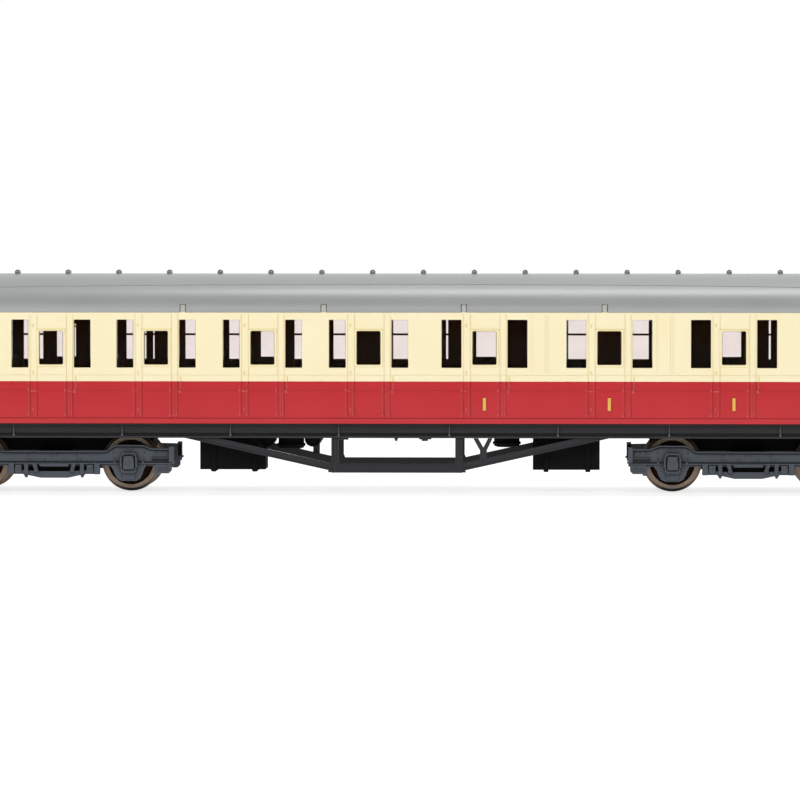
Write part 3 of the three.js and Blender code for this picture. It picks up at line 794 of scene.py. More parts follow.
# %% Clear strips and the bars of the sliding lights
def glazing(lights, side):
    strip = block((-110, 110), sorted((side * 16.05, side * 16.7)), (29, 42.2))
    panes = [block((x[0] + 0.06, x[1] - 0.06), sorted((side * 16.5, side * 17.55)),
                   (z[0] + 0.06, z[1] - 0.06)) for x, z in lights]
    return soften(boolean(strip, join(*panes), "UNION"), 0.04)


hand_over(glazing(compartment_lights, -1), "glazing_compartments", clear_glazing, "coach", "clear_glazing",
          "glazing_compartment_side")
hand_over(glazing(corridor_lights, 1), "glazing_corridor", clear_glazing, "coach", "clear_glazing",
          "glazing_corridor_side")

bars = []
for x, z in corridor_lights[:len(CORRIDOR_LIGHTS)]:
    bars.append(block((x[0] - 0.2, x[1] + 0.2), (15.75, 16.0), (36.85, 37.35), 0.08))
sliding_bars = soften(join(*bars), 0)
hand_over(sliding_bars, "sliding_light_bars", interior_plastic, "coach", "brown_plastic")

# %% [markdown]
# ## The interior
# The interior drops in as one brown tray with the bulkheads, the corridor wall and the seats. Little of it
# shows through the small windows, but it decides what does: daylight passes only where a light in the
# corridor wall lines up with one in the far side. So the wall's openings are cut in their real places, and
# the seats get rounded cushions and headrests.


# %% Tray, bulkheads, corridor wall and seats
BULKHEADS = (-95.95, -70.75, -45.5, -20.15, 5.2, 34.95, 64.6, 94.2)
PARTITION_LIGHTS = ((-92.6, -87.8), (-84.5, -79.8), (-67.5, -62.6), (-61, -60.6), (-53.1, -48),
                    (-42.4, -37.35), (-34.7, -30.05), (-26.5, -22.8), (-17, -11.5), (-2.45, 3),
                    (10.4, 10.9), (17.75, 22.5), (40.1, 46.5), (53.5, 59.6), (77.3, 82), (88.7, 89.2))


def seat(bulkhead, facing):
    """A bench across the compartment, facing along +X or -X, with a cushion, a back and a headrest."""
    def reach(near, far):
        return sorted((bulkhead + facing * near, bulkhead + facing * far))
    base = block(reach(0.4, 6.2), (-15.2, 7.4), (18.1, 20.6), 0.15)
    cushion = block(reach(1.2, 6.7), (-15.1, 7.3), (20.3, 22.6), 0.7, 3)
    back = block(reach(0.4, 2.4), (-15.1, 7.3), (22.2, 29.5), 0.6, 3)
    headrest = block(reach(0.4, 2.0), (-15.1, 7.3), (29.2, 32.4), 0.5, 3)
    return [base, cushion, back, headrest]


tray = block((-117.9, 117.9), (-15.7, 15.7), (17.4, 18.2), 0.2)
partition = block((BULKHEADS[0], BULKHEADS[-1]), (7.5, 8.5), (18.1, 42.4))
partition = boolean(partition, join(*[block(x, (6, 10), (28.5, 41)) for x in PARTITION_LIGHTS]),
                    "DIFFERENCE")
cross_walls = [block((x - 0.5, x + 0.5), (-15.8, 8.5), (18.1, 42.4), 0.1) for x in BULKHEADS]
benches = []
for left, right in zip(BULKHEADS, BULKHEADS[1:]):
    benches += seat(left, 1) + seat(right, -1)
interior = soften(join(tray, partition, *cross_walls, *benches), 0)
hand_over(interior, "interior_tray", interior_plastic, "coach", "brown_plastic", "interior_unit")

# %% [markdown]
# ## The underframe
# The chassis is a flat floor between two channel-shaped solebars, closed by a headstock at each end. The
# channel is drawn as a section and extruded. Thin ribs, like the brackets that carry the body on a real
# coach, divide its web. They are a lighter grey than the channel, a painted highlight, so that they read as
# fine upright lines of light.

# %% Floor, solebars and headstocks
RIBS = (-92.5, -66.5, -40.6, -14.7, 11.7, 37.6, 64.1, 90.5)
SOLEBAR_END = 119.5
HEADSTOCK = ((119.0, 120.4), (12.4, 16.5))
chassis_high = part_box("chassis")[1] / MM


solebar_ribs = []


def solebar(side):
    web, lip = 15.35, chassis_high.y
    section = [(14.6, 13.1), (lip - 0.1, 13.1), (lip, 13.2), (lip, 13.5), (lip - 0.1, 13.6),
               (web - 0.4, 13.7), (web - 0.4, 14.2), (web, 14.25), (web, 16.0), (lip, 16.15), (lip, 16.5),
               (14.6, 16.5)]
    channel = plate([(side * y, z) for y, z in section], (-SOLEBAR_END, SOLEBAR_END), "x")
    ribs = [block((x - 0.12, x + 0.12), sorted((side * (web - 0.2), side * (lip - 0.02))), (13.4, 16.3),
                  0.06) for x in RIBS]
    feet = [block((x - 0.25, x + 0.25), sorted((side * (web - 0.2), side * (lip + 0.1))), (13.5, 14.1),
                  0.12) for x in RIBS]
    solebar_ribs.extend(ribs + feet)
    return [soften(channel, 0.07)]


def headstock(side):
    x = sorted((side * HEADSTOCK[0][0], side * HEADSTOCK[0][1]))
    beam = block(x, (-15.6, 15.6), HEADSTOCK[1], 0.15)
    plates = [block(sorted((side * 120.2, side * 120.42)), (y - 2.2, y + 2.2), (12.8, 16.1), 0.1)
              for y in (-11.4, 11.4)]
    hook_plate = block(sorted((side * 120.2, side * 120.42)), (-1.6, 1.6), (13.0, 15.9), 0.1)
    return [beam, hook_plate, *plates]


def pivot_boss(side):
    return turned([(2.05, 14.2), (3.7, 14.2), (4, 14.5), (4, 15.2), (2.05, 15.2)], "z", (side * 83, 0, 0),
                  40)


floor_plate = block((-SOLEBAR_END, SOLEBAR_END), (-14.8, 14.8), (15, 16.2), 0.1)
pin_holes = [rod(2.05, 10, 20, "z", (side * 83, 0, 0), 32) for side in (-1, 1)]
floor_plate = boolean(floor_plate, join(*pin_holes), "DIFFERENCE")
long_ribs = [block((-60, 60), (y - 0.4, y + 0.4), (14.2, 15.1), 0.1) for y in (-4.5, 4.5)]
chassis_parts = [floor_plate, *long_ribs]
for side in (-1, 1):
    chassis_parts += solebar(side) + headstock(side) + [pivot_boss(side)]
small_fittings = []
for side in (-1, 1):
    y = side * 15.4
    small_fittings.append(turned([(0, 12.3), (0.15, 12.35), (0.45, 12.9), (0.45, 13.2), (0, 13.2)], "z",
                                 (-1.0, y, 0), 12))
    small_fittings.append(block((-14.6, -12.4), sorted((side * 15.0, side * 15.8)), (12.7, 13.2), 0.1))
    small_fittings.append(block((4.5, 7.4), sorted((side * 15.0, side * 15.8)), (12.8, 13.2), 0.1))
    small_fittings.append(block((5.1, 6.6), sorted((side * 15.1, side * 15.7)), (12.4, 13.0), 0.12))
chassis = soften(join(*chassis_parts, *small_fittings), 0)
hand_over(chassis, "chassis_and_solebars", underframe_plastic, "coach", "black_plastic", "chassis")
# The ribs take the lighter grey plastic: painted highlight.
hand_over(soften(join(*solebar_ribs), 0), "solebar_ribs", rib_highlight_plastic, "coach", "black_plastic")

# %% [markdown]
# ## Trusses
# The truss stops a long body from sagging: two queen posts stand under the middle, a tie joins their feet,
# and a sloping bar runs from each foot up to the solebar. The bars are angle section on the real coach.
# Here each is a plate with a lip on its lower edge, and gussets cover the joints. A brake hanger stands on
# one slope.

# %% One truss, and its copy turned half way round
TRUSS_TOP = 13.05
TRUSS_CENTRE = -0.85
SLOPE_ENDS = (-51.5, 49.7)


def truss_side():
    frame_outline = [
        (SLOPE_ENDS[0], TRUSS_TOP), (-16.5, 5.25), (-16.5, 4.8), (14.85, 4.8), (14.85, 5.25),
        (SLOPE_ENDS[1], TRUSS_TOP), (41.7, TRUSS_TOP), (14.85, 7.05), (14.85, TRUSS_TOP), (13.1, TRUSS_TOP),
        (13.1, 7.0), (-14.75, 7.0), (-14.75, TRUSS_TOP), (-16.5, TRUSS_TOP), (-16.5, 7.05),
        (-43.5, TRUSS_TOP), ]
    web = soften(plate(frame_outline, (-15.5, -14.75), "y"), 0.08)
    tie_lip = block((-14.7, 13.0), (-15.7, -15.3), (4.85, 5.2), 0.08)
    tie_top = block((-14.6, 12.9), (-15.65, -15.3), (6.62, 6.95), 0.08)
    posts = [block((x, x + 0.35), (-15.7, -15.3), (5.3, 12.95), 0.08)
             for x in (-16.45, -15.12, 13.15, 14.45)]
    gussets = [plate([(x - 1.7, 4.9), (x + 1.7, 4.9), (x + 1.0, 7.6), (x - 1.0, 7.6)], (-15.58, -15.3),
                     "y") for x in (-15.62, 13.98)]
    slope_lips = []
    for foot, top in ((-16.6, -49.0), (14.95, 47.2)):
        side = -1 if top < 0 else 1
        outline = [(foot, 5.32), (foot + side * 0.0, 5.66), (top, 12.84), (top + side * 1.5, 12.84)]
        slope_lips.append(soften(plate(outline, (-15.7, -15.3), "y"), 0.05))
    hanger = plate([(17.4, TRUSS_TOP), (19, 10.2), (19, 7.7), (20.65, 8.05), (20.65, 10.2), (22, TRUSS_TOP),
                    (20.9, TRUSS_TOP), (19.82, 10.9), (18.6, TRUSS_TOP)], (-15.66, -15.2), "y")
    pivot = rod(0.45, -15.7, -15.1, "y", (19.82, 0, 9.7), 16, 0.08)
    gussets = [soften(piece, 0.05) for piece in gussets]
    return join(web, tie_lip, tie_top, *posts, *gussets, *slope_lips, soften(hanger, 0.08), pivot)


near_truss = soften(truss_side(), 0)
far_truss = copied(near_truss, (2 * TRUSS_CENTRE, 0, 0), 180)
hand_over(near_truss, "truss_near", underframe_plastic, "coach", "black_plastic", "truss_compartment_side")
hand_over(far_truss, "truss_far", underframe_plastic, "coach", "black_plastic", "truss_corridor_side")

# %% [markdown]
# ## Boxes and cylinders under the floor
# Between the trusses hang the battery boxes, with a lid line, door catches and two straps that end as feet,
# and the round things: two vacuum brake cylinders standing upright, the dynamo and a reservoir lying
# across.


# %% Battery boxes
def battery_box(node, x, straps, step=None):
    low, high = [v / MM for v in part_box(node)]
    half = 12.3
    top = high.z - 0.02
    body = block(x, (-half, half), (5.4, top))
    if step:
        body = boolean(body, block((x[1] - 1.2, x[1] + 1), (-2, 14), (4, 16)), "DIFFERENCE")
        body = boolean(body, block(step, (-14, 14), (10.4, 16)), "DIFFERENCE")
    seam = join(*[block((x[0] - 1, x[1] + 1), sorted((side * 12.1, side * 13)), (12.55, 12.7))
                  for side in (-1, 1)])
    body = soften(boolean(body, seam, "DIFFERENCE"), 0.14)
    details = []
    for strap in straps:
        details.append(block((strap - 0.62, strap + 0.62), (low.y + 0.02, high.y - 0.02), (5.1, top), 0.1))
        details.append(block((strap - 0.55, strap + 0.55), (-11.5, 11.5), (4.82, 5.45), 0.12))
        for side in (-1, 1):
            details.append(rod(0.22, -0.2, 0.06, "y", (strap, side * 12.72 if side < 0 else 12.6, 8.5), 10,
                               0.04))
    middle = sum(straps) / 2
    for side in (-1, 1):
        details.append(block((middle - 0.9, middle + 0.9), sorted((side * 12.2, side * 12.5)), (11.2, 12.1),
                             0.1))
    box_piece = soften(join(body, *details), 0)
    return hand_over(box_piece, f"{node}_with_straps", box_plastic, "coach", "black_plastic", node)


battery_box("battery_box_a", (-48.1, -32.4), (-44.9, -35.05), (-34.3, -30))
battery_box("battery_box_b", (31.6, 47.6), (34.75, 44.75))


# %% Cylinders
def vacuum_cylinder(node):
    low, high = [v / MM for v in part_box(node)]
    centre = ((low.x + high.x) / 2, (low.y + high.y) / 2, 0)
    radius = (high.x - low.x) / 2
    base = low.z
    profile = [(0, base), (radius - 1.1, base), (radius - 0.35, base + 0.25), (radius - 0.3, base + 0.75),
               (radius, base + 0.8), (radius, base + 1.15), (radius - 0.3, base + 1.2),
               (radius - 0.3, high.z), (0, high.z)]
    drum = soften(turned(profile, "z", centre, 48), 0.06)
    bolts = []
    for index in range(8):
        angle = math.tau * index / 8
        place = (centre[0] + (radius - 0.2) * math.cos(angle), centre[1] + (radius - 0.2) * math.sin(angle),
                 0)
        bolts.append(rod(0.18, base + 0.6, base + 1.35, "z", place, 8, 0.04))
    return hand_over(soften(join(drum, *bolts), 0), f"{node}_drum", box_plastic, "coach", "black_plastic",
                     node)


def lying_cylinder(node, bands):
    low, high = [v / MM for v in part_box(node)]
    centre = ((low.x + high.x) / 2, 0, (low.z + high.z) / 2)
    radius = (high.x - low.x) / 2
    profile = [(0, low.y), (radius - 0.7, low.y), (radius - 0.62, low.y + 0.35),
               (radius - 0.3, low.y + 0.35), (radius - 0.28, low.y), (radius - 0.08, low.y),
               (radius, low.y + 0.1)]
    for band in bands:
        profile += [(radius, band - 0.3), (radius - 0.2, band - 0.25), (radius - 0.2, band + 0.25),
                    (radius, band + 0.3)]
    mirrored_end = [(r, low.y + high.y - h) for r, h in reversed(profile[:7])]
    drum = turned(profile + mirrored_end, "y", centre, 40)
    hangers = [block((centre[0] - 0.35, centre[0] + 0.35), (y - 0.5, y + 0.5), (high.z - 0.1, 14.95), 0.08)
               for y in (low.y + 2, high.y - 2)]
    return hand_over(soften(join(drum, *hangers), 0.03), f"{node}_drum", box_plastic, "coach",
                     "black_plastic", node)


vacuum_cylinder("vacuum_cylinder_a")
vacuum_cylinder("vacuum_cylinder_b")
lying_cylinder("dynamo", (-8, -4))
lying_cylinder("vacuum_reservoir", (-6, -2, 2))

# %% [markdown]
# ## The ends
# Neither end is in view from the side, so both follow common practice: a folding gangway with a recessed
# door, round-headed buffers on the headstock, and a steel hook coupling carried by the bogie. The bellows
# are made as a stack of thin frames, each a little smaller than its neighbours by turns, which is how
# folded canvas reads.


# %% Gangway, its door and the buffers
def ring(x, outer, inner, soft=0.08):
    """A frame across the coach, from x[0] to x[1]: outer and inner are (half width, low, high)."""
    frame_piece = plate(rounded((-outer[0], outer[0]), (outer[1], outer[2]), 0.8), x, "x")
    hole = plate(rounded((-inner[0], inner[0]), (inner[1], inner[2]), 0.5), (x[0] - 1, x[1] + 1), "x")
    return soften(boolean(frame_piece, hole, "DIFFERENCE"), soft)


def gangway():
    low, high = [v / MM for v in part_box("gangway_b")]
    half = high.y
    parts = [ring((low.x, low.x + 0.8), (half - 0.1, low.z + 0.1, high.z - 0.1), (3.95, 19, 41.5))]
    folds = 5
    start, pitch = low.x + 0.75, (high.x - low.x - 1.5) / folds
    for fold in range(folds):
        for offset, inset in ((0, 0.75), (pitch / 2, 0.3)):
            x = start + fold * pitch + offset
            parts.append(ring((x, x + pitch * 0.5 + 0.02), (half - inset, low.z + inset, high.z - inset),
                              (3.95, 19, 41.5), 0.12))
    parts.append(ring((high.x - 0.85, high.x), (half, low.z, high.z), (3.92, 19, 41.5)))
    return soften(join(*parts), 0)


def gangway_door():
    low, high = [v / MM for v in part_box("gangway_door_b")]
    leaf = block((low.x, high.x - 0.1), (low.y, high.y), (low.z, high.z))
    panels = [block((high.x - 0.25, high.x + 1), (-2.6, 2.6), z, 0.1)
              for z in ((20.6, 25.4), (26.6, 30.2), (31.4, 39.6))]
    leaf = soften(boolean(leaf, join(*panels), "DIFFERENCE"), 0.07)
    handle = rod(0.18, 28.2, 30.2, "z", (high.x - 0.12, -3.1, 0), 10, 0.04)
    return soften(join(leaf, handle), 0)


def buffer_piece():
    low, high = [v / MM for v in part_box("buffer_b1")]
    centre = (0, (low.y + high.y) / 2, (low.z + high.z) / 2)
    base, face = low.x, high.x
    profile = [(0, base), (2.3, base), (2.3, base + 0.5), (2.1, base + 0.7), (1.6, base + 0.95),
               (1.5, base + 1.4), (1.45, base + 3.0), (1.6, base + 3.05), (1.6, base + 3.35),
               (1.1, base + 3.4), (1.1, face - 0.95), (1.5, face - 0.75), (2.7, face - 0.62),
               (2.88, face - 0.5), (2.86, face - 0.34), (2.3, face - 0.16), (1.4, face - 0.05), (0, face)]
    stock = turned(profile, "x", centre, 40)
    bolts = [rod(0.2, base, base + 0.7, "x", (0, centre[1] + dy, centre[2] + dz), 8, 0.05)
             for dy in (-1.75, 1.75) for dz in (-1.1, 1.1)]
    return soften(join(stock, *bolts), 0.03)


def hand_over_pair(piece, name, material, bodies, slot, nodes):
    """One piece at the +X end, and its twin turned half way round for the other end."""
    twin = copied(piece, turn=180)
    hand_over(piece, f"{name}_b", material, bodies[0], slot, nodes[0])
    hand_over(twin, f"{name}_a", material, bodies[1], slot, nodes[1])


ON_COACH = ("coach", "coach")
hand_over_pair(gangway(), "gangway_bellows", bellows_plastic, ON_COACH, "black_plastic",
               ("gangway_b", "gangway_a"))
hand_over_pair(gangway_door(), "gangway_end_door", underframe_plastic, ON_COACH, "black_plastic",
               ("gangway_door_b", "gangway_door_a"))
first_buffer = buffer_piece()
second_buffer = copied(first_buffer, (0, 22.8, 0))
hand_over_pair(first_buffer, "buffer_1", underframe_plastic, ON_COACH, "black_plastic",
               ("buffer_b1", "buffer_a1"))
hand_over_pair(second_buffer, "buffer_2", underframe_plastic, ON_COACH, "black_plastic",
               ("buffer_b2", "buffer_a2"))


# %% End details: steps, lamp irons and handrails on the end walls
def end_details():
    parts = []
    for y in (-13.5, 13.5):
        for step in range(4):
            z = 21 + step * 5
            parts.append(block((119.9, 120.9), (y - 1.1, y + 1.1), (z, z + 0.25), 0.08))
    for y in (-9.5, 9.5):
        parts.append(block((119.9, 120.25), (y - 0.5, y + 0.5), (20.5, 23.5), 0.1))
        parts.append(rod(0.22, 30, 40, "z", (120.35, y, 0), 10, 0.06))
        parts += [block((119.9, 120.4), (y - 0.25, y + 0.25), (z - 0.25, z + 0.25), 0.08)
                  for z in (30.2, 39.8)]
    return soften(join(*parts), 0)


steps_b = end_details()
steps_a = copied(steps_b, turn=180)
hand_over(steps_b, "end_steps_b", underframe_plastic, "coach", "black_plastic")
hand_over(steps_a, "end_steps_a", underframe_plastic, "coach", "black_plastic")

# %% [markdown]
# ## Bogies
# The bogie is the most detailed moulding on the coach. Its side frame is a pressed channel: a deep web
# between a top and a bottom flange, humped over each axle. On it sit the axleboxes in their horn guides,
# the spring plank with its hangers, and the brake shoes beside the wheels. One half of one side is drawn
# and mirrored by turning, since the bogie looks the same from both sides, and the whole bogie is then
# copied to the other end.

# %% Side frame
BOGIE_X = 83.0
AXLE = 18.0
AXLE_Z = 7.05
FRAME_FACE = 14.6


def ease(start, end, steps=7):
    """Points on a smooth S-shaped curve, level at both its ends."""
    points = []
    for step in range(steps + 1):
        share = step / steps
        rise = (1 - math.cos(math.pi * share)) / 2
        points.append((start[0] + (end[0] - start[0]) * share, start[1] + (end[1] - start[1]) * rise))
    return points


def both_ways(right_half):
    """A line that runs from the middle out to the right, completed by its mirror image on the left."""
    return [(-x, z) for x, z in reversed(right_half)] + right_half


FRAME_TOP = [*ease((12.0, 9.85), (15.1, 11.3)), *ease((20.9, 11.3), (23.7, 10.5)), (28.6, 10.4)]


def follow_top(drop, thickness, y):
    """A strip as thick as given that follows the frame's top edge, drop below it."""
    upper = both_ways([(x, z - drop) for x, z in FRAME_TOP])
    lower = [(x, z - thickness) for x, z in reversed(upper)]
    return plate(upper + lower, y, "y")


def bogie_web():
    web = plate(both_ways(FRAME_TOP) + [(28.6, 6.3), (-28.6, 6.3)], (-FRAME_FACE + 0.6, -13.05), "y")
    slots = [block(sorted((side * 23.4, side * 27.35)), (-15, -13.6), (7.6, 8.05)) for side in (-1, 1)]
    slots.append(follow_top(0.28, 0.26, (-15, -13.55)))
    slots.append(block((-28.0, 28.0), (-15, -13.55), (7.06, 7.3)))
    web = boolean(web, join(*slots), "DIFFERENCE")
    top_flange = follow_top(0, 0.3, (-FRAME_FACE, -13.05))
    bottom_flange = block((-28.6, 28.6), (-FRAME_FACE, -13.05), (6.78, 7.08), 0.08)
    end_plates = [block(sorted((side * 27.5, side * 28.65)), (-FRAME_FACE - 0.05, -13.05), (7.2, 10.9),
                        0.15) for side in (-1, 1)]
    tips = [block(sorted((side * 28.2, side * 28.95)), (-FRAME_FACE, -13.4), (7.0, 7.5), 0.1)
            for side in (-1, 1)]
    ledges = [block(sorted((side * 23.3, side * 27.4)), (-FRAME_FACE, -14.0), (8.1, 8.3), 0.08)
              for side in (-1, 1)]
    return [soften(web, 0.08), soften(top_flange, 0.07), bottom_flange, *end_plates, *tips, *ledges]


def rivet(x, z, face=-FRAME_FACE + 0.6, radius=0.24, proud=0.18):
    return turned([(0, face + 0.1), (radius, face + 0.1), (radius, face - proud * 0.4),
                   (radius * 0.7, face - proud * 0.85), (0, face - proud)], "y", (x, 0, z), 10)


def bogie_rivets():
    places = [(x, 8.75) for x in (-6.1, -0.6, 0.6, 5.4)] + [(x, 7.85)
        for x in (-6.4, -5.5, 5.5, 6.4, 2.3, -2.3)]
    for axle in (-AXLE, AXLE):
        places += [(axle + x, z) for x in (-3.6, 3.6) for z in (8.3, 9.5, 10.4)]
        places += [(axle + x, 10.65) for x in (-2.4, -0.8, 0.8, 2.4)]
        side = 1 if axle > 0 else -1
        places += [(axle + side * x, 9.4) for x in (6.4, 7.9, 9.2)]
    return [rivet(x, z) for x, z in places]


# %% [markdown]
# The axlebox is a cast box that slides between two horn cheeks. Its front cover, the keeper plate under it
# and the bright nuts on the tie bar are what the eye finds first, so each is its own raised shape. The horn
# plate behind narrows to a flat foot below the axle.


# %% Axlebox and horn plate
def axlebox(x):
    rim = plate(rounded((x - 1.95, x + 1.8), (4.6, 9.5), 0.75), (-15.2, -14.0), "y")
    well = plate(rounded((x - 1.55, x + 1.4), (5.25, 9.1), 0.55), (-16, -14.8), "y")
    rim = boolean(rim, well, "DIFFERENCE")
    cover = plate([(x - 1.35, 5.55), (x + 1.25, 5.55), (x + 1.3, 6.9), (x + 1.0, 8.7), (x - 1.1, 8.7),
                   (x - 1.4, 6.9)],
                  (-15.75, -14.6), "y")
    cheeks = [block((x + low, x + high), (-15.5, -14.0), (6.0, 8.4), 0.12) for low,
              high in ((-2.15, -1.65), (1.5, 2.0))]
    foot = plate([(x - 1.7, 4.7), (x + 1.5, 4.7), (x + 1.4, 3.3), (x + 1.1, 3.0), (x - 1.3, 3.0),
                  (x - 1.6, 3.3)],
                 (-14.5, -13.5), "y")
    boss = turned([(0, -15.98), (0.3, -15.96), (0.45, -15.85), (0.5, -15.6), (0, -15.6)], "y",
                  (x - 0.08, 0, 7.05), 20)
    return [soften(rim, 0.1), soften(cover, 0.14), *cheeks, soften(foot, 0.12), boss]


def horn_plate(x):
    outline = [(x - 5.0, 6.9), (x - 4.4, 6.2), (x - 3.8, 5.3), (x - 3.4, 4.2), (x - 2.8, 3.2),
               (x - 1.8, 2.7), (x + 1.6, 2.7), (x + 2.5, 3.2), (x + 3.1, 4.2), (x + 3.4, 5.3),
               (x + 3.9, 6.2), (x + 4.4, 6.9)]
    plate_piece = soften(plate(outline, (-14.25, -13.2), "y"), 0.1)
    nuts = [rivet(x + dx, 7.15, -FRAME_FACE, 0.36, 0.3) for dx in (-3.4, 3.3)]
    return [plate_piece, *nuts]


# %% [markdown]
# Between the axles hangs the spring plank, shaped like a fish's belly, under a black gap where the springs
# stand. Sloping swing links carry it at each end. Outside each wheel there is a brake shoe block, and its arm
# reaches down a little lower.


# %% Spring plank, links and brake blocks
def spring_plank():
    belly = both_ways([(3.3, 3.4), (6.3, 4.05), (6.5, 3.45), (6.9, 3.45), (7.4, 4.3), (11.0, 4.3)])
    top = [(x, z) for x, z in reversed(both_ways([(3.5, 5.0), (7.2, 5.2), (11.0, 6.2)]))]
    plank = soften(plate(belly + top, (-14.3, -13.1), "y"), 0.1)
    step = block((-3.5, 3.5), (-14.75, -13.2), (6.15, 6.85), 0.1)
    pieces = [plank, step]
    for side in (-1, 1):
        link = [(side * x, z) for x, z in ((3.6, 4.7), (4.5, 4.6), (5.3, 6.9), (4.3, 6.9))]
        pieces.append(soften(plate(link, (-14.65, -13.5), "y"), 0.1))
        pieces.append(turned([(0, -14.8), (0.45, -14.8), (0.5, -14.6), (0.5, -14.0), (0, -14.0)], "y",
                             (side * 4.4, 0, 5.2), 14))
        pieces.append(block(sorted((side * 6.2, side * 7.2)), (-14.7, -13.1), (4.3, 6.9), 0.12))
        pieces.append(block(sorted((side * 7.8, side * 9.4)), (-14.55, -13.1), (4.6, 6.6), 0.12))
        pieces.append(block(sorted((side * 9.6, side * 11.0)), (-14.65, -13.1), (4.25, 6.9), 0.15))
        pieces += [rivet(side * 8.6, 5.6, -14.5, 0.3, 0.2), rivet(side * 6.7, 5.9, -14.65, 0.28, 0.2)]
    return pieces


def brake_blocks():
    pieces = []
    for side in (-1, 1):
        start = side * (AXLE + 6.2)
        outline = [(start, 6.9), (start + side * 4.0, 6.9), (start + side * 4.0, 5.2),
                   (start + side * 3.3, 4.5), (start + side * 1.0, 4.5), (start + side * 1.0, 4.1),
                   (start - side * 0.15, 4.1)]
        pieces.append(soften(plate(outline, (-14.4, -13.1), "y"), 0.12))
        pieces.append(block(sorted((start + side * 0.5, start + side * 3.4)), (-14.6, -14.2), (5.3, 5.7),
                            0.1))
        pieces += [rivet(start + side * 2.8, 6.3, -14.4, 0.25, 0.15),
                   rivet(start + side * 1.1, 6.3, -14.4, 0.25, 0.15)]
    return pieces


# %% [markdown]
# The two sides are joined by a bolster in the middle, which turns on the coach's pin, and by a bar across
# the outer end. A long central beam ties them and carries the coupling. Everything is one moulding on the
# model, so all of it is joined into one piece. One fault is still open: the bolster and the beam are bored
# as one mesh although they overlap, and that cut isn't reliable. Most runs leave a capped ring of the tool
# under the bolster, round the head of the coach's pin, and some runs lose the bolster and the beam.


# %% The whole bogie
PIVOT_HOLE_RADIUS = 2.05
PIVOT_HOLE_Z = (5, 20)


def pivot_hole():
    """The tool that bores the bolster, the beam and the black shade block for the coach's pin."""
    return rod(PIVOT_HOLE_RADIUS, *PIVOT_HOLE_Z, "z", (0, 0, 0), 32)


def bogie_cross_members():
    pieces = [plate([(-4, 7.25), (4, 7.25), (4.0, 9.9), (-4.0, 9.9)], (-13.1, 13.1), "y")]
    pieces.append(block((27.4, 28.4), (-13.3, 13.3), (8.6, 10.0), 0.15))
    beam = block((-12.0, 28.6), (-2.6, 2.6), (9.3, 10.6), 0.15)
    return [soften(pieces[0], 0.15), *pieces[1:], beam]


def bogie_shade_block():
    """A black block above the cross beam, filling the space up to the coach's floor, and black plates behind
    the spring plank: painted shade where the gaps fall dark.
    """
    shade_block = plate(both_ways([(21.8, 9.7), (23.3, 10.4), (23.3, 13.95)])[::-1], (-6.5, 6.5), "y")
    shade_block = soften(boolean(shade_block, pivot_hole(), "DIFFERENCE"), 0.15)
    shade_plates = [block((-9.7, 9.7), sorted((side * 12.9, side * 13.2)), (4.7, 6.9), 0.05) for side in (-1, 1)]
    return join(shade_block, *shade_plates)


def whole_bogie():
    side = bogie_web() + bogie_rivets() + spring_plank() + brake_blocks()
    for axle in (-AXLE, AXLE):
        side += axlebox(axle) + horn_plate(axle)
    near_side = join(*side)
    far_side = copied(near_side, turn=180)
    middle = join(*bogie_cross_members())
    middle = boolean(middle, pivot_hole(), "DIFFERENCE")
    return soften(join(near_side, far_side, middle), 0)


bogie = whole_bogie()
bogie.data.transform(Matrix.Translation(mm(BOGIE_X, 0, 0)))
# Painted shade: a black block and black plates stand where the space above and behind the bogie frame falls
# dark.
shade_block = bogie_shade_block()
shade_block.data.transform(Matrix.Translation(mm(BOGIE_X, 0, 0)))
far_shade_block = copied(shade_block, turn=180)
hand_over(shade_block, "bogie_shade_block_b", box_plastic, "bogie_b", "black_plastic")
hand_over(far_shade_block, "bogie_shade_block_a", box_plastic, "bogie_a", "black_plastic")
hand_over_pair(bogie, "bogie_moulding", bogie_plastic, ("bogie_b", "bogie_a"), "bogie_plastic",
               ("bogie_frame_b", "bogie_frame_a"))

# %% [markdown]
# ## Wheels and axles
# A model wheel is a turned tyre with a coned tread and a flange, on a plain disc with a raised hub. Its
# section is drawn once and spun. The axle is a steel bar with a cone at each tip. The side frames have no
# bearing dimples, so the tips stand in their inner faces. Left and right wheels are the same turned shape
# facing opposite ways.


# %% One wheelset, copied four times
def wheel(side):
    """The wheel on the side of -Y or +Y, centred on x = 0: the flange is on its inner face."""
    inner, outer, hub = 7.25, 9.5, 9.7
    profile = [(0.95, inner), (5.2, inner), (5.35, inner + 0.1), (6.8, inner), (6.97, inner + 0.06),
               (7.05, inner + 0.25), (6.95, inner + 0.5), (6.62, inner + 0.68), (6.47, inner + 0.8),
               (6.38, outer - 0.15), (6.25, outer), (5.45, outer), (5.3, outer - 0.12),
               (5.22, outer - 0.75), (2.2, outer - 0.75), (1.95, outer - 0.6), (1.85, hub - 0.1),
               (1.7, hub), (0.95, hub)]
    turned_wheel = turned([(radius, side * place) for radius, place in profile], "y", (0, 0, AXLE_Z), 96)
    return soften(turned_wheel, 0, angle=25)


def axle_bar():
    profile = [(0, -13.5), (0.25, -13.2), (0.75, -12.0), (0.8, -9.9), (0.95, -9.8), (0.95, 9.8), (0.8, 9.9),
               (0.75, 12.0), (0.25, 13.2), (0, 13.5)]
    return soften(turned(profile, "y", (0, 0, AXLE_Z), 32), 0, angle=25)


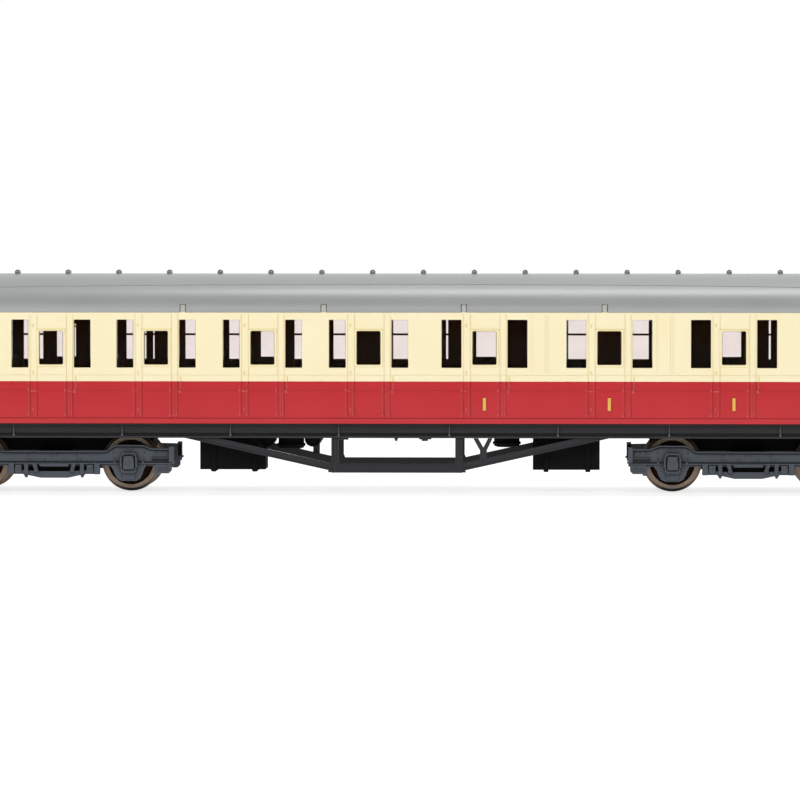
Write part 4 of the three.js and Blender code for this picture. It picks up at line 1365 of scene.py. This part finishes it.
wheel_left, wheel_right, axle = wheel(-1), wheel(1), axle_bar()
for tag, end in (("b", 1), ("a", -1)):
    for number, offset in ((1, -AXLE), (2, AXLE)):
        body = f"wheelset_{tag}{number}"
        place = (end * (BOGIE_X + offset), 0, 0)
        turn = 0 if end > 0 else 180
        stem = f"{tag}{number}"
        hand_over(copied(wheel_left, place, turn), f"tyre_and_disc_{stem}_left", wheel_metal, body,
                  "wheel_metal", f"wheel_{stem}_left")
        hand_over(copied(wheel_right, place, turn), f"tyre_and_disc_{stem}_right", wheel_metal, body,
                  "wheel_metal", f"wheel_{stem}_right")
        hand_over(copied(axle, place, turn), f"pin_point_axle_{stem}", bright_steel, body, "bright_steel",
                  f"axle_{stem}")
for spare in (wheel_left, wheel_right, axle):
    bpy.data.objects.remove(spare, do_unlink=True)

# %% [markdown]
# ## Couplings
# The coupling is an arm on the bogie that ends in a wide upright bumper bar, and a thin steel hook that
# swings up over the next coach's bar. The hook turns on a pin through the fork of the arm, so the hook must
# stay thin enough to pass between the fork's cheeks at every angle of its lift.


# %% Arm, hook and pin
HOOK_HINGE = (119.6, 0, 9.7)


def coupling_arm():
    shank = block((112.5, 118.2), (-2.3, 2.3), (7.4, 8.6), 0.2)
    web = block((112.6, 118), (-0.5, 0.5), (8.5, 9.2), 0.15)
    pieces = [shank, web]
    for side in (-1, 1):
        cheek = plate([(117.6, 7.4), (127.9, 7.4), (127.9, 8.6), (121.2, 8.6), (120.5, 9.6), (120.35, 10.2),
                       (119.9, 10.7), (119.3, 10.7), (118.85, 10.2), (118.7, 9.6), (118.2, 8.6),
                       (117.6, 8.6)], sorted((side * 1.1, side * 2.3)), "y")
        cheek = boolean(cheek, rod(0.46, -4, 4, "y", HOOK_HINGE, 20), "DIFFERENCE")
        pieces.append(soften(cheek, 0.12))
    bar = plate([(-6.2, 5.6), (6.2, 5.6), (6.75, 6.2), (6.75, 8.3), (6.2, 8.9), (-6.2, 8.9), (-6.75, 8.3),
                 (-6.75, 6.2)],
                (127.6, 128.6), "x")
    bar = boolean(bar, block((127, 129), (-0.75, 0.75), (7.6, 9.5)), "DIFFERENCE")
    pieces.append(soften(bar, 0.18))
    return pieces


def coupling_hook():
    """A flat steel hook with a tail that hangs down for a magnet or a ramp to push."""
    outline = [(118.55, 9.1), (119.0, 8.75), (119.6, 8.62), (121.9, 9.1), (122.0, 4.4), (122.3, 4.05),
               (123.2, 4.05), (123.35, 4.4), (123.35, 9.1), (130.6, 9.12), (130.95, 9.4), (130.5, 11.4),
               (130.2, 11.55), (129.4, 11.3), (129.25, 11.0), (129.2, 10.3), (121, 10.35), (120.1, 10.75),
               (119.5, 10.8), (118.9, 10.6), (118.55, 10.0)]
    blade = plate(outline, (-0.48, 0.48), "y")
    hole = rod(0.47, -3, 3, "y", HOOK_HINGE, 20)
    return soften(boolean(blade, hole, "DIFFERENCE"), 0.1)


def coupling_pin():
    head = [(0, -2.5), (0.3, -2.5), (0.43, -2.4), (0.44, 2.4), (0.3, 2.5), (0, 2.5)]
    return soften(turned(head, "y", HOOK_HINGE, 20), 0)


def bogie_pin():
    """A headed pin with a screwdriver slot, pushed up through the bolster into the floor."""
    profile = [(0, 6.35), (1.0, 6.3), (2.7, 6.2), (3.1, 6.35), (3.2, 6.6), (3.15, 6.95), (1.9, 7),
               (1.85, 15.7), (1.5, 16.1), (0, 16.1)]
    pin = turned(profile, "z", (BOGIE_X, 0, 0), 40)
    slot = block((BOGIE_X - 2.4, BOGIE_X + 2.4), (-0.35, 0.35), (5, 6.6))
    return soften(boolean(pin, slot, "DIFFERENCE"), 0.05)


arm = soften(join(*coupling_arm()), 0)
hand_over_pair(arm, "coupling_bar", underframe_plastic, ("bogie_b", "bogie_a"), "black_plastic",
               ("coupling_arm_b", "coupling_arm_a"))
hand_over_pair(coupling_hook(), "coupling_steel_hook", black_steel, ("hook_b", "hook_a"), "blackened_steel",
               ("coupling_hook_b", "coupling_hook_a"))
hand_over_pair(coupling_pin(), "coupling_hinge_pin", bright_steel, ("bogie_b", "bogie_a"), "bright_steel",
               ("coupling_pin_b", "coupling_pin_a"))
hand_over_pair(bogie_pin(), "bogie_pivot_pin", underframe_plastic, ON_COACH, "black_plastic",
               ("bogie_pin_b", "bogie_pin_a"))

# %% [markdown]
# ## The ballast weight
# The steel strip that gives the coach its weight lies hidden between the floor and the interior tray. Its CAD
# shape is already a sheared steel bar, so it stays, and only gets its metal.

# %% Finish on the carried-over node
for material_slot in bpy.data.objects["ballast_weight"].material_slots:
    material_slot.material = black_steel

# %% [markdown]
# ## Camera, floor and light
# The coach is seen almost square on, a little to the right of the middle and from slightly above the
# cantrail, with a long lens. The studio is white all round: a bright world, a pale floor, and a wide soft
# panel overhead and a little behind, which draws the long highlight along the roof.

# %% Camera
SENSOR_MM = 36.0
VIEW_WIDTH = 190.5
EYE = Vector(mm(37.6, -1198, 67.2))
TARGET = Vector(mm(0, -HALF_WIDTH, 22.3))


def aim(piece, place, target):
    piece.location = place
    piece.rotation_euler = (target - place).to_track_quat("-Z", "Y").to_euler()
    bpy.context.collection.objects.link(piece)
    return piece


camera_data = bpy.data.cameras.new("camera")
camera_data.sensor_width = SENSOR_MM
camera_data.lens = SENSOR_MM * (EYE - TARGET).length / (VIEW_WIDTH * MM)
camera_data.clip_start, camera_data.clip_end = 0.01, 50
bpy.context.scene.camera = aim(bpy.data.objects.new("camera", camera_data), EYE, TARGET)
bpy.context.scene.view_settings.view_transform = "Standard"
print("lens:", round(camera_data.lens, 1), "mm")

# %% Floor
bpy.ops.object.select_all(action="DESELECT")
bpy.ops.mesh.primitive_plane_add(size=3)
studio_floor = bpy.context.object
studio_floor.name = "studio_floor"
floor_finish, tree, shader, coordinates = new_finish("floor_backlit_white_acrylic")
tree.links.new(ramp(tree, grain(tree, coordinates, 30), linear("#949494"), linear("#989898")),
               shader.inputs["Base Color"])
shader.inputs["Roughness"].default_value = 0.6
shader.inputs["Specular IOR Level"].default_value = 0.2
shader.inputs["Emission Color"].default_value = linear("#FFFFFF")
shader.inputs["Emission Strength"].default_value = 0.76
studio_floor.data.materials.append(floor_finish)

# %% World and soft panels
WORLD_STRENGTH = 1.0
FRONT_SHARE, ZENITH_SHARE = 0.2, 0.65
world = bpy.data.worlds.new("white_studio")
bpy.context.scene.world = world
world.use_nodes = True
background = world.node_tree.nodes["Background"]
background.inputs["Color"].default_value = linear("#FFFFFF")
sky = world.node_tree
towards = add(sky, "ShaderNodeSeparateXYZ",
              links={0: add(sky, "ShaderNodeTexCoord").outputs["Generated"]}).outputs
behind = ramp(sky, towards["Y"], FRONT_SHARE, 1.0, -0.3, 0.3)
overhead = ramp(sky, towards["Z"], 1.0, ZENITH_SHARE, 0.15, 0.75)
both = add(sky, "ShaderNodeMath", links={0: behind, 1: overhead}, operation="MULTIPLY").outputs[0]
strength = add(sky, "ShaderNodeMath", {1: WORLD_STRENGTH}, {0: both}, operation="MULTIPLY").outputs[0]
sky.links.new(strength, background.inputs["Strength"])


def soft_panel(name, place, target, size, radiance):
    """A rectangular panel whose surface is radiance times as bright as white paper in this studio."""
    panel = bpy.data.lights.new(name, "AREA")
    panel.shape = "RECTANGLE"
    panel.size, panel.size_y = size[0] * MM, size[1] * MM
    panel.energy = radiance * math.pi * panel.size * panel.size_y
    return aim(bpy.data.objects.new(name, panel), Vector(mm(*place)), Vector(mm(*target)))


soft_panel("panel_overhead", (510, 140, 560), (510, 0, 45), (1200, 180), 4.7)
soft_panel("panel_front_high", (-150, -640, 640), (0, 0, 20), (1500, 500), 2.6)
